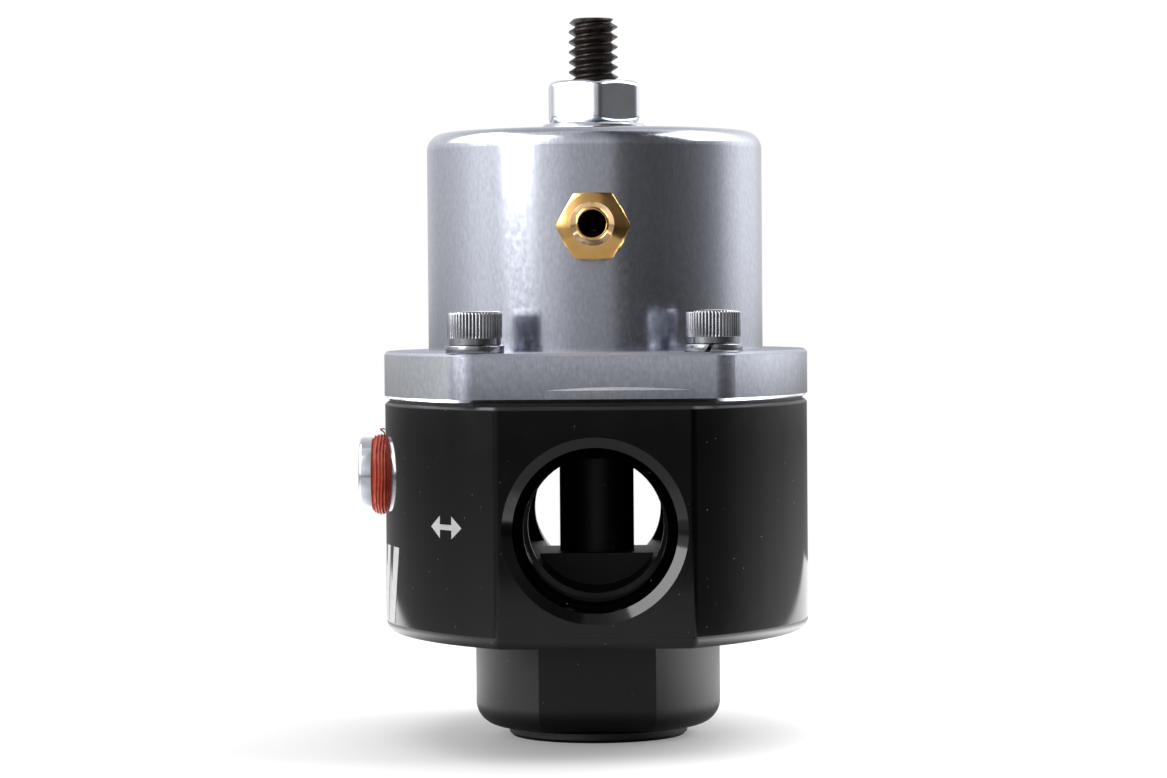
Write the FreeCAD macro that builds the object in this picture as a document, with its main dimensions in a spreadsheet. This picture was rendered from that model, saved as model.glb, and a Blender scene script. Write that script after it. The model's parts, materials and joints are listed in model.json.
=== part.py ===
import FreeCAD, Part
import math
import os
import re

import Sketcher

# Adjustable bypass fuel pressure regulator, in millimetres, +Z up.
# The origin is on the regulator's axis, in the plane of the lowest face.
# The two inlet ports look along -Y and +Y, the gauge port along -X.

SIZES = {
    # Plan of the body and of the bonnet's flange: two wide arcs and two flats
    "side_radius": 40.9,
    "body_half_width": 26.7,
    "body_port_flat": 31.6,
    "body_corner_round": 1.3,
    "flange_side_radius": 44.0,
    "flange_side_step": 0.05,
    "flange_flat": 28.95,
    "flange_corner_round": 3.0,
    # Heights of the body and its boss
    "boss_bottom": 1.35,
    "body_bottom": 13.65,
    "body_top": 42.4,
    "boss_radius": 15.5,
    "boss_flat": 13.7,
    "body_bottom_round": 1.2,
    "body_top_chamfer": 0.3,
    "boss_bottom_round": 3.0,
    # Chamber under the diaphragm, and the island that carries the seat
    "chamber_radius": 19.0,
    "chamber_floor": 23.4,
    "island_half": 7.0,
    # Straight-thread inlet ports with a seal countersink
    "port_height": 27.7,
    "port_mouth_radius": 11.1,
    "port_mouth_depth": 0.8,
    "port_seal_radius": 9.85,
    "port_seal_floor_radius": 9.45,
    "port_seal_depth": 2.4,
    "port_bore_radius": 8.65,
    "port_lead_in": 0.9,
    "port_thread_margin": 0.3,
    "port_channel_radius": 8.3,
    # Return port in the boss, and the passage up to the seat
    "return_seal_radius": 10.2,
    "return_seal_floor_radius": 9.98,
    "return_seal_depth": 2.2,
    "return_bore_radius": 8.7,
    "return_bore_top": 12.6,
    "return_drill_point": 2.2,
    "passage_radius": 2.9,
    "seat_shank_radius": 3.9,
    "seat_shank_bottom": 15.4,
    # Gauge port
    "gauge_height": 33.1,
    "gauge_mouth_radius": 5.9,
    "gauge_mouth_depth": 1.5,
    "gauge_drill_radius": 2.4,
    "gauge_end_gap": 0.3,
    # Bonnet
    "diaphragm_thickness": 0.5,
    "flange_thickness": 5.85,
    "flange_chamfer": 0.35,
    "dome_radius": 21.17,
    "dome_height": 27.4,
    "dome_round": 2.2,
    "dome_wall": 3.0,
    "dome_roof": 6.5,
    # Low bowed lip on the flange's flat, over each port
    "lip_shift": 3.1,
    "lip_half_length": 9.0,
    "lip_height": 1.4,
    "lip_depth": 0.4,
    "lip_root": 1.2,
    "lip_sweep": 11.0,
    # Bonnet screws
    "screw_across": 14.3,
    "screw_along": 25.2,
    "screw_radius": 2.05,
    "screw_length": 12.6,
    "screw_point_chamfer": 0.5,
    "screw_head_radius": 3.3,
    "screw_head_height": 4.1,
    "screw_head_round": 0.26,
    "screw_socket_flats": 3.57,
    "screw_socket_depth": 2.2,
    "screw_hole_depth": 7.5,
    "washer_radius": 3.53,
    "washer_hole_radius": 2.15,
    "washer_thickness": 0.95,
    "washer_split": 0.45,
    "hole_clearance": 0.1,
    # Tapped holes for a bracket, on the +X side near the body's top and bottom
    "bracket_edge": 4.85,
    "bracket_hole_radius": 2.02,
    "bracket_hole_depth": 6.2,
    # Diaphragm and the plates that clamp it
    "diaphragm_inset": 0.55,
    "roll_inner": 13.9,
    "roll_outer": 17.7,
    "roll_height": 1.9,
    "roll_shoulder": 0.76,
    "roll_shoulder_height": 1.5,
    "roll_swell": 0.2,
    "stem_radius": 2.5,
    "stem_chamfer": 0.6,
    "backing_radius": 12.4,
    "backing_thickness": 1.2,
    "plate_radius": 13.3,
    "plate_thickness": 1.5,
    "plate_lip_width": 1.2,
    "plate_lip_height": 2.0,
    # Valve holder, its nut, its ball and the ring that keeps the ball
    "holder_radius": 5.6,
    "holder_height": 2.9,
    "holder_pocket_radius": 2.85,
    "ball_pocket_roof": 0.9,
    "ball_pocket_roof_radius": 1.25,
    "stem_top": 48.6,
    "holder_nut_flats": 8.0,
    "holder_nut_height": 3.0,
    "ball_radius": 2.75,
    "ball_flat_drop": 1.9,
    "retainer_height": 0.6,
    "retainer_radius": 4.4,
    "retainer_lip": 0.15,
    # Return seat
    "seat_radius": 4.7,
    "seat_top": 36.6,
    "seat_orifice_radius": 1.5,
    "seat_orifice_depth": 3.0,
    "seat_cone": 1.5,
    "seat_bore_radius": 2.4,
    "seat_ring_level": 3.0,
    "seat_ring_groove": 1.15,
    "seat_ring_wire": 0.5,
    "valve_gap": 0.03,
    # Main spring and what loads it
    "spring_wire_radius": 1.1,
    "spring_radius": 10.6,
    "spring_turns": 4.5,
    "spring_clearance": 0.02,
    "spring_seat_bottom": 61.5,
    "spring_seat_radius": 13.0,
    "spring_seat_thickness": 2.4,
    "spring_seat_chamfer": 0.6,
    "spring_pilot_radius": 9.2,
    "spring_pilot_depth": 1.5,
    "spring_pilot_chamfer": 0.5,
    "thrust_ball_radius": 2.0,
    "thrust_dimple_depth": 1.2,
    "thrust_dimple_radius": 1.1,
    # Adjusting screw, jam nut and sealing washer
    "stud_radius": 3.1,
    "stud_top": 90.6,
    "stud_chamfer": 0.7,
    "stud_socket_flats": 3.18,
    "stud_socket_depth": 3.5,
    "stud_clearance": 0.07,
    "seal_washer_radius": 6.45,
    "seal_washer_thickness": 1.15,
    "seal_washer_edge": 0.22,
    "seal_ring_radius": 4.3,
    "nut_flats": 11.11,
    "nut_height": 5.35,
    "nut_face_radius": 5.35,
    "nut_face_drop": 0.6,
    "nut_bevel_reach": 6.7,
    "nut_mouth_width": 0.4,
    "nut_mouth_depth": 0.3,
    # Vacuum nipple
    "nipple_height": 63.9,
    "nipple_seat": 20.55,
    "nipple_thread_radius": 2.4,
    "nipple_collar_radius": 4.1,
    "nipple_collar_thickness": 1.7,
    "nipple_hex_flats": 7.94,
    "nipple_hex_length": 4.8,
    "nipple_hex_corner_radius": 4.45,
    "nipple_hex_bevel": 0.2,
    "nipple_hex_bevel_length": 0.42,
    "nipple_neck_radius": 1.95,
    "nipple_barb_radius": 2.58,
    "nipple_barb_length": 2.2,
    "nipple_barb_land": 0.44,
    "nipple_tip_radius": 1.8,
    "nipple_tip": 39.5,
    "nipple_bore_radius": 1.58,
    # Gauge port plug and its thread sealant
    "plug_stand_out": 3.25,
    "plug_length": 10.0,
    "plug_end_radius": 4.85,
    "plug_taper": 0.3,
    "plug_bevel_length": 0.75,
    "plug_bevel_rise": 0.5,
    "plug_socket_flats": 4.76,
    "plug_socket_depth": 5.0,
    "sealant_depth": 0.55,
    "sealant_stand_out": 1.5,
    "sealant_bulge": 0.32,
    "sealant_inner_bulge": 0.22,
    "sealant_outer_bulge": 0.19,
    # Return port plug
    "plug_head_radius": 11.3,
    "plug_head_round": 0.4,
    "plug_neck_radius": 7.7,
    "plug_shank_radius": 8.6,
    "plug_shank_top": 11.4,
    "plug_hex_flats": 7.94,
    "plug_hex_depth": 7.0,
    "o_ring_wire": 1.03,
    # General clearance between pieces that are fixed together
    "seat_gap": 0.02,
}

doc = FreeCAD.newDocument("fuel_pressure_regulator")
sheet = doc.addObject("Spreadsheet::Sheet", "sizes")
for row, (alias, size) in enumerate(SIZES.items(), start=1):
    sheet.set(f"A{row}", alias)
    sheet.set(f"B{row}", str(size))
    sheet.setAlias(f"B{row}", alias)
doc.recompute()

PIECES = []
LEVEL = 1e-4

# Heights that several pieces share, worked out from the sizes
FLANGE_BOTTOM = "(body_top + diaphragm_thickness)"
FLANGE_TOP = f"({FLANGE_BOTTOM} + flange_thickness)"
LIP_RADIUS = "((lip_half_length ^ 2 + lip_depth ^ 2) / (2 * lip_depth))"
DOME_TOP = f"({FLANGE_TOP} + dome_height)"
PLATE_TOP = f"({FLANGE_BOTTOM} + plate_thickness)"
SEAT_PLATE_TOP = "(spring_seat_bottom + spring_seat_thickness)"
THRUST_CENTRE = f"({SEAT_PLATE_TOP} - thrust_dimple_depth + thrust_ball_radius)"
STUD_BOTTOM = f"({THRUST_CENTRE} + thrust_ball_radius - seat_gap)"
NUT_BOTTOM = f"({DOME_TOP} + seal_washer_thickness)"
HOLDER_TOP = "(body_top - backing_thickness)"
FLANGE_HALF_WIDTH = "(body_half_width + flange_side_step)"
PLUG_END = "(body_half_width + plug_stand_out)"


def cells(text):
    """Write each size named in the text as a cell of the sheet."""
    return re.sub(r"[a-z][a-z_]+", lambda word: "sizes." + word[0] if word[0] in SIZES else word[0], text)


def value(text):
    return float(sheet.evalExpression(cells(text)))


def bind(thing, field, text):
    thing.setExpression(field, cells(text))


def keep(thing, node):
    """Name a finished sub-part, whose file is written at the end."""
    thing.Label = node
    PIECES.append(thing)
    return thing


def new_body(name):
    return doc.addObject("PartDesign::Body", name)


def sketch_on(body, name, role, along="0", up="0"):
    """A sketch on one of the body's origin planes, moved along its normal and up."""
    sketch = body.newObject("Sketcher::SketchObject", name)
    plane = next(face for face in body.Origin.OriginFeatures if face.Role == role)
    sketch.AttachmentSupport = [(plane, "")]
    sketch.MapMode = "FlatFace"
    bind(sketch, "AttachmentOffset.Base.y", up)
    bind(sketch, "AttachmentOffset.Base.z", along)
    return sketch


def tie(sketch, kind, geometry, point, text):
    """Hold one coordinate of a point at a size from the sheet."""
    amount = value(text)
    if abs(amount) < LEVEL:
        axis = -2 if kind == "DistanceX" else -1
        sketch.addConstraint(Sketcher.Constraint("PointOnObject", geometry, point, axis))
        return
    index = sketch.addConstraint(Sketcher.Constraint(kind, -1, 1, geometry, point, amount))
    bind(sketch, f"Constraints[{index}]", text)


def draw_outline(sketch, points):
    """Close a straight-sided outline whose corners follow the sheet."""
    corners = [FreeCAD.Vector(value(across), value(up), 0) for across, up in points]
    lines = []
    for start, end in zip(corners, corners[1:] + corners[:1]):
        lines.append(sketch.addGeometry(Part.LineSegment(start, end)))
    for line, following in zip(lines, lines[1:] + lines[:1]):
        sketch.addConstraint(Sketcher.Constraint("Coincident", line, 2, following, 1))
    for line, (across, up) in zip(lines, points):
        tie(sketch, "DistanceX", line, 1, across)
        tie(sketch, "DistanceY", line, 1, up)


def draw_circle(sketch, radius, across="0", up="0"):
    centre = FreeCAD.Vector(value(across), value(up), 0)
    circle = sketch.addGeometry(Part.Circle(centre, FreeCAD.Vector(0, 0, 1), value(radius)))
    tie(sketch, "DistanceX", circle, 3, across)
    tie(sketch, "DistanceY", circle, 3, up)
    index = sketch.addConstraint(Sketcher.Constraint("Radius", circle, value(radius)))
    bind(sketch, f"Constraints[{index}]", radius)


def draw_flatted_oval(sketch, radius, half_width, flat):
    """Two arcs that bulge to the half width, joined by flats across the ports."""
    flat = f"({flat})"
    shift = f"({radius} - ({half_width}))"
    sweep = math.asin(value(flat) / value(radius))
    normal = FreeCAD.Vector(0, 0, 1)
    arcs = []
    for side in (1, -1):
        centre = FreeCAD.Vector(-side * value(shift), 0, 0)
        middle = 0 if side == 1 else math.pi
        circle = Part.Circle(centre, normal, value(radius))
        arc = sketch.addGeometry(Part.ArcOfCircle(circle, middle - sweep, middle + sweep))
        tie(sketch, "DistanceX", arc, 3, f"{-side} * {shift}")
        sketch.addConstraint(Sketcher.Constraint("PointOnObject", arc, 3, -1))
        index = sketch.addConstraint(Sketcher.Constraint("Radius", arc, value(radius)))
        bind(sketch, f"Constraints[{index}]", radius)
        tie(sketch, "DistanceY", arc, 1, f"{-side} * {flat}")
        tie(sketch, "DistanceY", arc, 2, f"{side} * {flat}")
        arcs.append(arc)
    right, left = arcs
    reach = value(radius) * math.cos(sweep) - value(shift)
    depth = value(flat)
    back = Part.LineSegment(FreeCAD.Vector(reach, depth, 0), FreeCAD.Vector(-reach, depth, 0))
    front = Part.LineSegment(FreeCAD.Vector(-reach, -depth, 0), FreeCAD.Vector(reach, -depth, 0))
    for line, start, end in ((back, right, left), (front, left, right)):
        edge = sketch.addGeometry(line)
        sketch.addConstraint(Sketcher.Constraint("Coincident", start, 2, edge, 1))
        sketch.addConstraint(Sketcher.Constraint("Coincident", edge, 2, end, 1))


def pad(body, name, sketch, length):
    feature = body.newObject("PartDesign::Pad", name)
    feature.Profile = sketch
    bind(feature, "Length", length)
    doc.recompute()
    return feature


def must_cut(body, name, before):
    """Stop where a cut took nothing away, as it does when it points outward."""
    if before - body.Shape.Volume < LEVEL:
        raise ValueError(f"{name} removes no material")


def pocket(body, name, sketch, length):
    before = body.Shape.Volume
    feature = body.newObject("PartDesign::Pocket", name)
    feature.Profile = sketch
    bind(feature, "Length", length)
    doc.recompute()
    must_cut(body, name, before)
    return feature


def groove(body, name, sketch, axis="V_Axis"):
    before = body.Shape.Volume
    feature = body.newObject("PartDesign::Groove", name)
    feature.Profile = sketch
    feature.ReferenceAxis = (sketch, [axis])
    feature.Angle = 360
    doc.recompute()
    must_cut(body, name, before)
    return feature


def revolve(body, name, points, axis="V_Axis"):
    sketch = sketch_on(body, name + "_profile", "XZ_Plane")
    draw_outline(sketch, points)
    feature = body.newObject("PartDesign::Revolution", name)
    feature.Profile = sketch
    feature.ReferenceAxis = (sketch, [axis])
    feature.Angle = 360
    doc.recompute()
    return feature


def soften(body, kind, name, base, test, amount):
    """Round or chamfer the edges of the last feature that pass the test."""
    edges = [f"Edge{number}" for number, edge in enumerate(base.Shape.Edges, 1) if test(edge)]
    feature = body.newObject(f"PartDesign::{kind}", name)
    feature.Base = (base, edges)
    bind(feature, "Radius" if kind == "Fillet" else "Size", amount)
    doc.recompute()
    return feature


def at_height(height, reach="0"):
    """Edges that lie level at this height and reach at least this far from the axis."""
    level = value(height)
    least = value(reach)

    def test(edge):
        box = edge.BoundBox
        far = max(abs(box.XMin), abs(box.XMax), abs(box.YMin), abs(box.YMax))
        return abs(box.ZMin - level) < LEVEL and abs(box.ZMax - level) < LEVEL and far > least - LEVEL

    return test


def upright(edge):
    """Edges that stand parallel to the axis."""
    box = edge.BoundBox
    return box.XLength < LEVEL and box.YLength < LEVEL


def lift(thing, height):
    bind(thing, "Placement.Base.z", height)


def hex_prism(name, flats, height):
    """A hexagon as wide across its flats as the size, standing on the XY plane."""
    prism = doc.addObject("Part::Prism", name)
    prism.Polygon = 6
    bind(prism, "Circumradius", f"{flats} / 2 / cos(30)")
    bind(prism, "Height", height)
    return prism


def cut(name, base, tool):
    result = doc.addObject("Part::Cut", name)
    result.Base = base
    result.Tool = tool
    doc.recompute()
    return result


def make_body():
    """Black billet body: oval block, boss, chamber, ports and tapped holes."""
    body = new_body("body")
    block = sketch_on(body, "block_plan", "XY_Plane", "body_bottom")
    draw_flatted_oval(block, "side_radius", "body_half_width", "body_port_flat")
    feature = pad(body, "block", block, "body_top - body_bottom")
    feature = soften(body, "Fillet", "block_corner_round", feature, upright, "body_corner_round")
    feature = soften(body, "Fillet", "block_bottom_round", feature,
                     at_height("body_bottom"), "body_bottom_round")
    feature = soften(body, "Chamfer", "block_top_chamfer", feature,
                     at_height("body_top"), "body_top_chamfer")
    boss = sketch_on(body, "boss_plan", "XY_Plane", "boss_bottom")
    draw_flatted_oval(boss, "boss_radius", "boss_radius", "boss_flat")
    feature = pad(body, "boss", boss, "body_bottom - boss_bottom")
    soften(body, "Fillet", "boss_round", feature, at_height("boss_bottom"), "boss_bottom_round")

    chamber = sketch_on(body, "chamber_plan", "XY_Plane", "body_top")
    draw_circle(chamber, "chamber_radius")
    pocket(body, "chamber", chamber, "body_top - chamber_floor")

    for side, name in ((-1, "front"), (1, "back")):
        port = sketch_on(body, f"{name}_port_profile", "YZ_Plane", "0", "port_height")
        mouth = "body_port_flat"
        draw_outline(port, [
            (f"{side} * island_half", "0"),
            (f"{side} * island_half", "port_channel_radius"),
            (f"{side} * (chamber_radius + port_thread_margin)", "port_channel_radius"),
            (f"{side} * (chamber_radius + port_thread_margin)", "port_bore_radius"),
            (f"{side} * ({mouth} - port_seal_depth - port_lead_in)", "port_bore_radius"),
            (f"{side} * ({mouth} - port_seal_depth)", "port_seal_floor_radius"),
            (f"{side} * ({mouth} - port_mouth_depth)", "port_seal_radius"),
            (f"{side} * {mouth}", "port_mouth_radius"),
            (f"{side} * ({mouth} + port_mouth_depth)", "port_mouth_radius"),
            (f"{side} * ({mouth} + port_mouth_depth)", "0"),
        ])
        groove(body, f"{name}_port", port, "H_Axis")

    passage = sketch_on(body, "return_profile", "XZ_Plane")
    draw_outline(passage, [
        ("0", "boss_bottom - return_seal_depth"),
        ("return_seal_radius", "boss_bottom - return_seal_depth"),
        ("return_seal_radius", "boss_bottom"),
        ("return_seal_floor_radius", "boss_bottom + return_seal_depth"),
        ("return_bore_radius", "boss_bottom + return_seal_depth"),
        ("return_bore_radius", "return_bore_top"),
        ("passage_radius", "return_bore_top + return_drill_point"),
        ("passage_radius", "seat_shank_bottom"),
        ("seat_shank_radius + seat_gap", "seat_shank_bottom"),
        ("seat_shank_radius + seat_gap", "chamber_floor + seat_gap"),
        ("0", "chamber_floor + seat_gap"),
    ])
    groove(body, "return_passage", passage)

    gauge = sketch_on(body, "gauge_profile", "XZ_Plane", "0", "gauge_height")
    plug_inner_end = f"({PLUG_END} - plug_length)"
    buried = "((plug_stand_out + gauge_mouth_depth) / plug_length)"
    draw_outline(gauge, [
        ("-(chamber_radius - gauge_mouth_depth)", "0"),
        ("-(chamber_radius - gauge_mouth_depth)", "gauge_drill_radius"),
        (f"-({plug_inner_end} - gauge_end_gap)", "gauge_drill_radius"),
        (f"-({plug_inner_end} - gauge_end_gap)", "plug_end_radius - plug_taper + seat_gap"),
        ("-(body_half_width - gauge_mouth_depth)", f"plug_end_radius - plug_taper * {buried} + seat_gap"),
        ("-body_half_width", "gauge_mouth_radius"),
        ("-(body_half_width + gauge_mouth_depth)", "gauge_mouth_radius"),
        ("-(body_half_width + gauge_mouth_depth)", "0"),
    ])
    groove(body, "gauge_port", gauge, "H_Axis")

    holes = sketch_on(body, "screw_hole_plan", "XY_Plane", "body_top")
    for across in (1, -1):
        for along in (1, -1):
            draw_circle(holes, "screw_radius + hole_clearance / 2",
                        f"{across} * screw_across", f"{along} * screw_along")
    pocket(body, "screw_holes", holes, "screw_hole_depth")

    tapped = sketch_on(body, "bracket_hole_plan", "YZ_Plane", "body_half_width")
    for height in ("body_top - bracket_edge", "body_bottom + bracket_edge"):
        draw_circle(tapped, "bracket_hole_radius", "0", height)
    pocket(body, "bracket_holes", tapped, "bracket_hole_depth")
    keep(body, "body")


def make_bonnet():
    """Silver bonnet: flange, dome and the spring's room in one piece."""
    bonnet = new_body("bonnet")
    plan = sketch_on(bonnet, "flange_plan", "XY_Plane", FLANGE_BOTTOM)
    draw_flatted_oval(plan, "flange_side_radius", FLANGE_HALF_WIDTH, "flange_flat")
    feature = pad(bonnet, "flange", plan, "flange_thickness")
    feature = soften(bonnet, "Fillet", "flange_corner_round", feature, upright, "flange_corner_round")
    feature = soften(bonnet, "Chamfer", "flange_top_chamfer", feature,
                     at_height(FLANGE_TOP), "flange_chamfer")
    soften(bonnet, "Chamfer", "flange_bottom_chamfer", feature,
           at_height(FLANGE_BOTTOM), "flange_chamfer")
    circle = sketch_on(bonnet, "dome_plan", "XY_Plane", FLANGE_TOP)
    draw_circle(circle, "dome_radius")
    feature = pad(bonnet, "dome", circle, "dome_height")
    soften(bonnet, "Fillet", "dome_top_round", feature, at_height(DOME_TOP), "dome_round")

    room = sketch_on(bonnet, "spring_room_profile", "XZ_Plane")
    inner = "dome_radius - dome_wall"
    draw_outline(room, [
        ("0", f"{FLANGE_BOTTOM} - dome_wall"),
        (inner, f"{FLANGE_BOTTOM} - dome_wall"),
        (inner, f"{DOME_TOP} - dome_roof - dome_wall"),
        (f"{inner} - dome_wall", f"{DOME_TOP} - dome_roof"),
        ("stud_radius + stud_clearance", f"{DOME_TOP} - dome_roof"),
        ("stud_radius + stud_clearance", f"{DOME_TOP} + dome_wall"),
        ("0", f"{DOME_TOP} + dome_wall"),
    ])
    groove(bonnet, "spring_room", room)

    nipple = sketch_on(bonnet, "nipple_hole_profile", "YZ_Plane", "0", "nipple_height")
    draw_outline(nipple, [
        ("-(dome_radius - 2 * dome_wall)", "0"),
        ("-(dome_radius - 2 * dome_wall)", "nipple_thread_radius + seat_gap"),
        ("-nipple_seat", "nipple_thread_radius + seat_gap"),
        ("-nipple_seat", "nipple_collar_radius + seat_gap"),
        ("-(dome_radius + dome_wall)", "nipple_collar_radius + seat_gap"),
        ("-(dome_radius + dome_wall)", "0"),
    ])
    groove(bonnet, "nipple_hole", nipple, "H_Axis")

    holes = sketch_on(bonnet, "screw_clearance_plan", "XY_Plane", FLANGE_TOP)
    for across in (1, -1):
        for along in (1, -1):
            draw_circle(holes, "screw_radius + hole_clearance",
                        f"{across} * screw_across", f"{along} * screw_along")
    pocket(bonnet, "screw_clearance", holes, "flange_thickness")

    for turn, name in ((1, "front"), (-1, "back")):
        section = sketch_on(bonnet, f"{name}_lip_section", "YZ_Plane", f"{turn} * lip_shift")
        bind(section, "AttachmentOffset.Base.x",
             f"{turn} * ({LIP_RADIUS} - flange_flat - lip_depth)")
        draw_outline(section, [
            (f"-{turn} * ({LIP_RADIUS} - lip_root)", f"{FLANGE_BOTTOM} + flange_chamfer"),
            (f"-{turn} * {LIP_RADIUS}", f"{FLANGE_BOTTOM} + flange_chamfer"),
            (f"-{turn} * {LIP_RADIUS}", f"{FLANGE_BOTTOM} + lip_height"),
            (f"-{turn} * ({LIP_RADIUS} - lip_depth)", f"{FLANGE_BOTTOM} + lip_height + lip_depth"),
            (f"-{turn} * ({LIP_RADIUS} - lip_root)", f"{FLANGE_BOTTOM} + lip_height + lip_depth"),
        ])
        lip = bonnet.newObject("PartDesign::Revolution", f"{name}_lip")
        lip.Profile = section
        lip.ReferenceAxis = (section, ["V_Axis"])
        lip.Midplane = True
        bind(lip, "Angle", "lip_sweep")
        doc.recompute()
    keep(bonnet, "bonnet")


def make_diaphragm():
    """Thin rubber sheet with one roll, clamped between body and bonnet."""
    sheet_body = new_body("diaphragm")
    plan = sketch_on(sheet_body, "rim_plan", "XY_Plane", "body_top")
    draw_flatted_oval(plan, "side_radius - diaphragm_inset", "body_half_width - diaphragm_inset",
                      "flange_flat - diaphragm_inset")
    draw_circle(plan, "roll_outer")
    for across in (1, -1):
        for along in (1, -1):
            draw_circle(plan, "screw_radius + hole_clearance",
                        f"{across} * screw_across", f"{along} * screw_along")
    pad(sheet_body, "rim", plan, "diaphragm_thickness")
    middle = "(roll_inner + roll_outer) / 2"
    wall = "diaphragm_thickness"
    low = "body_top"
    high = "(body_top + diaphragm_thickness)"
    revolve(sheet_body, "roll", [
        ("stem_radius + seat_gap", low),
        (f"roll_inner + {wall}", low),
        (f"roll_inner + roll_shoulder + {wall}", f"{low} + roll_shoulder_height"),
        (middle, f"{low} + roll_height"),
        (f"roll_outer - roll_shoulder - {wall}", f"{low} + roll_shoulder_height"),
        (f"roll_outer - {wall}", low),
        ("roll_outer", low),
        ("roll_outer", high),
        ("roll_outer - roll_shoulder", f"{high} + roll_shoulder_height + roll_swell"),
        (middle, f"{high} + roll_height + roll_swell"),
        ("roll_inner + roll_shoulder", f"{high} + roll_shoulder_height + roll_swell"),
        ("roll_inner", high),
        ("stem_radius + seat_gap", high),
    ])
    keep(sheet_body, "diaphragm")


def turned(node, points):
    body = new_body(node)
    revolve(body, node + "_turning", points)
    return keep(body, node)


def make_plates():
    """The two plates that clamp the diaphragm on the valve holder's stem."""
    hole = "stem_radius + seat_gap"
    turned("backing_plate", [
        (hole, "body_top - backing_thickness"),
        ("backing_radius - backing_thickness / 2", "body_top - backing_thickness"),
        ("backing_radius", "body_top - backing_thickness / 2"),
        ("backing_radius", "body_top"),
        (hole, "body_top"),
    ])
    turned("diaphragm_plate", [
        (hole, FLANGE_BOTTOM),
        ("plate_radius", FLANGE_BOTTOM),
        ("plate_radius", f"{PLATE_TOP} + plate_lip_height"),
        ("plate_radius - plate_lip_width / 2", f"{PLATE_TOP} + plate_lip_height"),
        ("plate_radius - plate_lip_width", f"{PLATE_TOP} + plate_lip_width / 2"),
        ("plate_radius - plate_lip_width", PLATE_TOP),
        (hole, PLATE_TOP),
    ])


def make_valve():
    """Valve holder with its nut, and the flat-faced ball kept in its pocket."""
    bottom = f"({HOLDER_TOP} - holder_height)"
    ball_top = "(seat_top + valve_gap + ball_flat_drop + ball_radius)"
    turned("valve_holder", [
        ("holder_pocket_radius", bottom),
        ("holder_radius - retainer_height", bottom),
        ("holder_radius", f"{bottom} + retainer_height"),
        ("holder_radius", HOLDER_TOP),
        ("stem_radius", HOLDER_TOP),
        ("stem_radius", "stem_top - stem_chamfer"),
        ("stem_radius - stem_chamfer", "stem_top"),
        ("0", "stem_top"),
        ("0", f"{ball_top} + seat_gap + ball_pocket_roof"),
        ("ball_pocket_roof_radius", f"{ball_top} + seat_gap"),
        ("holder_pocket_radius", f"{HOLDER_TOP} - ball_pocket_roof"),
    ])
    prism = hex_prism("holder_nut_prism", "holder_nut_flats", "holder_nut_height")
    hole = doc.addObject("Part::Cylinder", "holder_nut_hole")
    bind(hole, "Radius", "stem_radius + seat_gap")
    bind(hole, "Height", "holder_nut_height")
    nut = cut("holder_nut", prism, hole)
    lift(nut, PLATE_TOP)
    keep(nut, "holder_nut")

    ball = doc.addObject("Part::Sphere", "ball_sphere")
    bind(ball, "Radius", "ball_radius")
    flat = doc.addObject("Part::Box", "ball_flat")
    bind(flat, "Length", "ball_radius * 2")
    bind(flat, "Width", "ball_radius * 2")
    bind(flat, "Height", "ball_radius")
    bind(flat, "Placement.Base.x", "-ball_radius")
    bind(flat, "Placement.Base.y", "-ball_radius")
    bind(flat, "Placement.Base.z", "-ball_radius - ball_flat_drop")
    ground = cut("valve_ball", ball, flat)
    lift(ground, "seat_top + valve_gap + ball_flat_drop")
    keep(ground, "valve_ball")

    turned("ball_retainer", [
        ("holder_pocket_radius - retainer_lip", f"{bottom} - retainer_height"),
        ("retainer_radius", f"{bottom} - retainer_height"),
        ("retainer_radius", bottom),
        ("holder_pocket_radius", bottom),
    ])


def make_return_seat():
    """Black column on the island; the ball closes the hole in its top."""
    ring_floor = "(seat_shank_bottom + seat_ring_level)"
    groove_radius = "seat_shank_radius - seat_ring_wire * 2"
    turned("return_seat", [
        ("seat_bore_radius", "seat_shank_bottom"),
        ("seat_shank_radius", "seat_shank_bottom"),
        ("seat_shank_radius", ring_floor),
        (groove_radius, ring_floor),
        (groove_radius, f"{ring_floor} + seat_ring_groove"),
        ("seat_shank_radius", f"{ring_floor} + seat_ring_groove"),
        ("seat_shank_radius", "chamber_floor"),
        ("seat_radius", "chamber_floor"),
        ("seat_radius", "seat_top - seat_cone"),
        ("seat_radius - seat_cone", "seat_top"),
        ("seat_orifice_radius", "seat_top"),
        ("seat_orifice_radius", "seat_top - seat_orifice_depth"),
        ("seat_bore_radius", "seat_top - seat_orifice_depth - seat_cone"),
    ])
    ring = doc.addObject("Part::Torus", "seat_o_ring")
    bind(ring, "Radius1", "seat_shank_radius - seat_ring_wire + seat_gap / 2")
    bind(ring, "Radius2", "seat_ring_wire")
    lift(ring, f"{ring_floor} + seat_ring_groove / 2")
    keep(ring, "seat_o_ring")


def make_spring():
    """Main spring between the diaphragm's plate and the upper seat."""
    wire = "spring_wire_radius"
    coil = doc.addObject("Part::Helix", "spring_line")
    bind(coil, "Radius", "spring_radius")
    rise = f"(spring_seat_bottom - {PLATE_TOP} - 2 * {wire} - 2 * spring_clearance)"
    bind(coil, "Pitch", f"{rise} / spring_turns")
    bind(coil, "Height", rise)
    ring = doc.addObject("Part::Circle", "spring_section")
    bind(ring, "Radius", wire)
    bind(ring, "Placement.Base.x", "spring_radius")
    ring.Placement.Rotation = FreeCAD.Rotation(FreeCAD.Vector(1, 0, 0), 90)
    doc.recompute()
    sweep = doc.addObject("Part::Sweep", "main_spring")
    sweep.Sections = [ring]
    sweep.Spine = (coil, [f"Edge{number}" for number in range(1, len(coil.Shape.Edges) + 1)])
    sweep.Solid = True
    sweep.Frenet = True
    lift(sweep, f"{PLATE_TOP} + {wire} + spring_clearance")
    keep(sweep, "main_spring")


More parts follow.
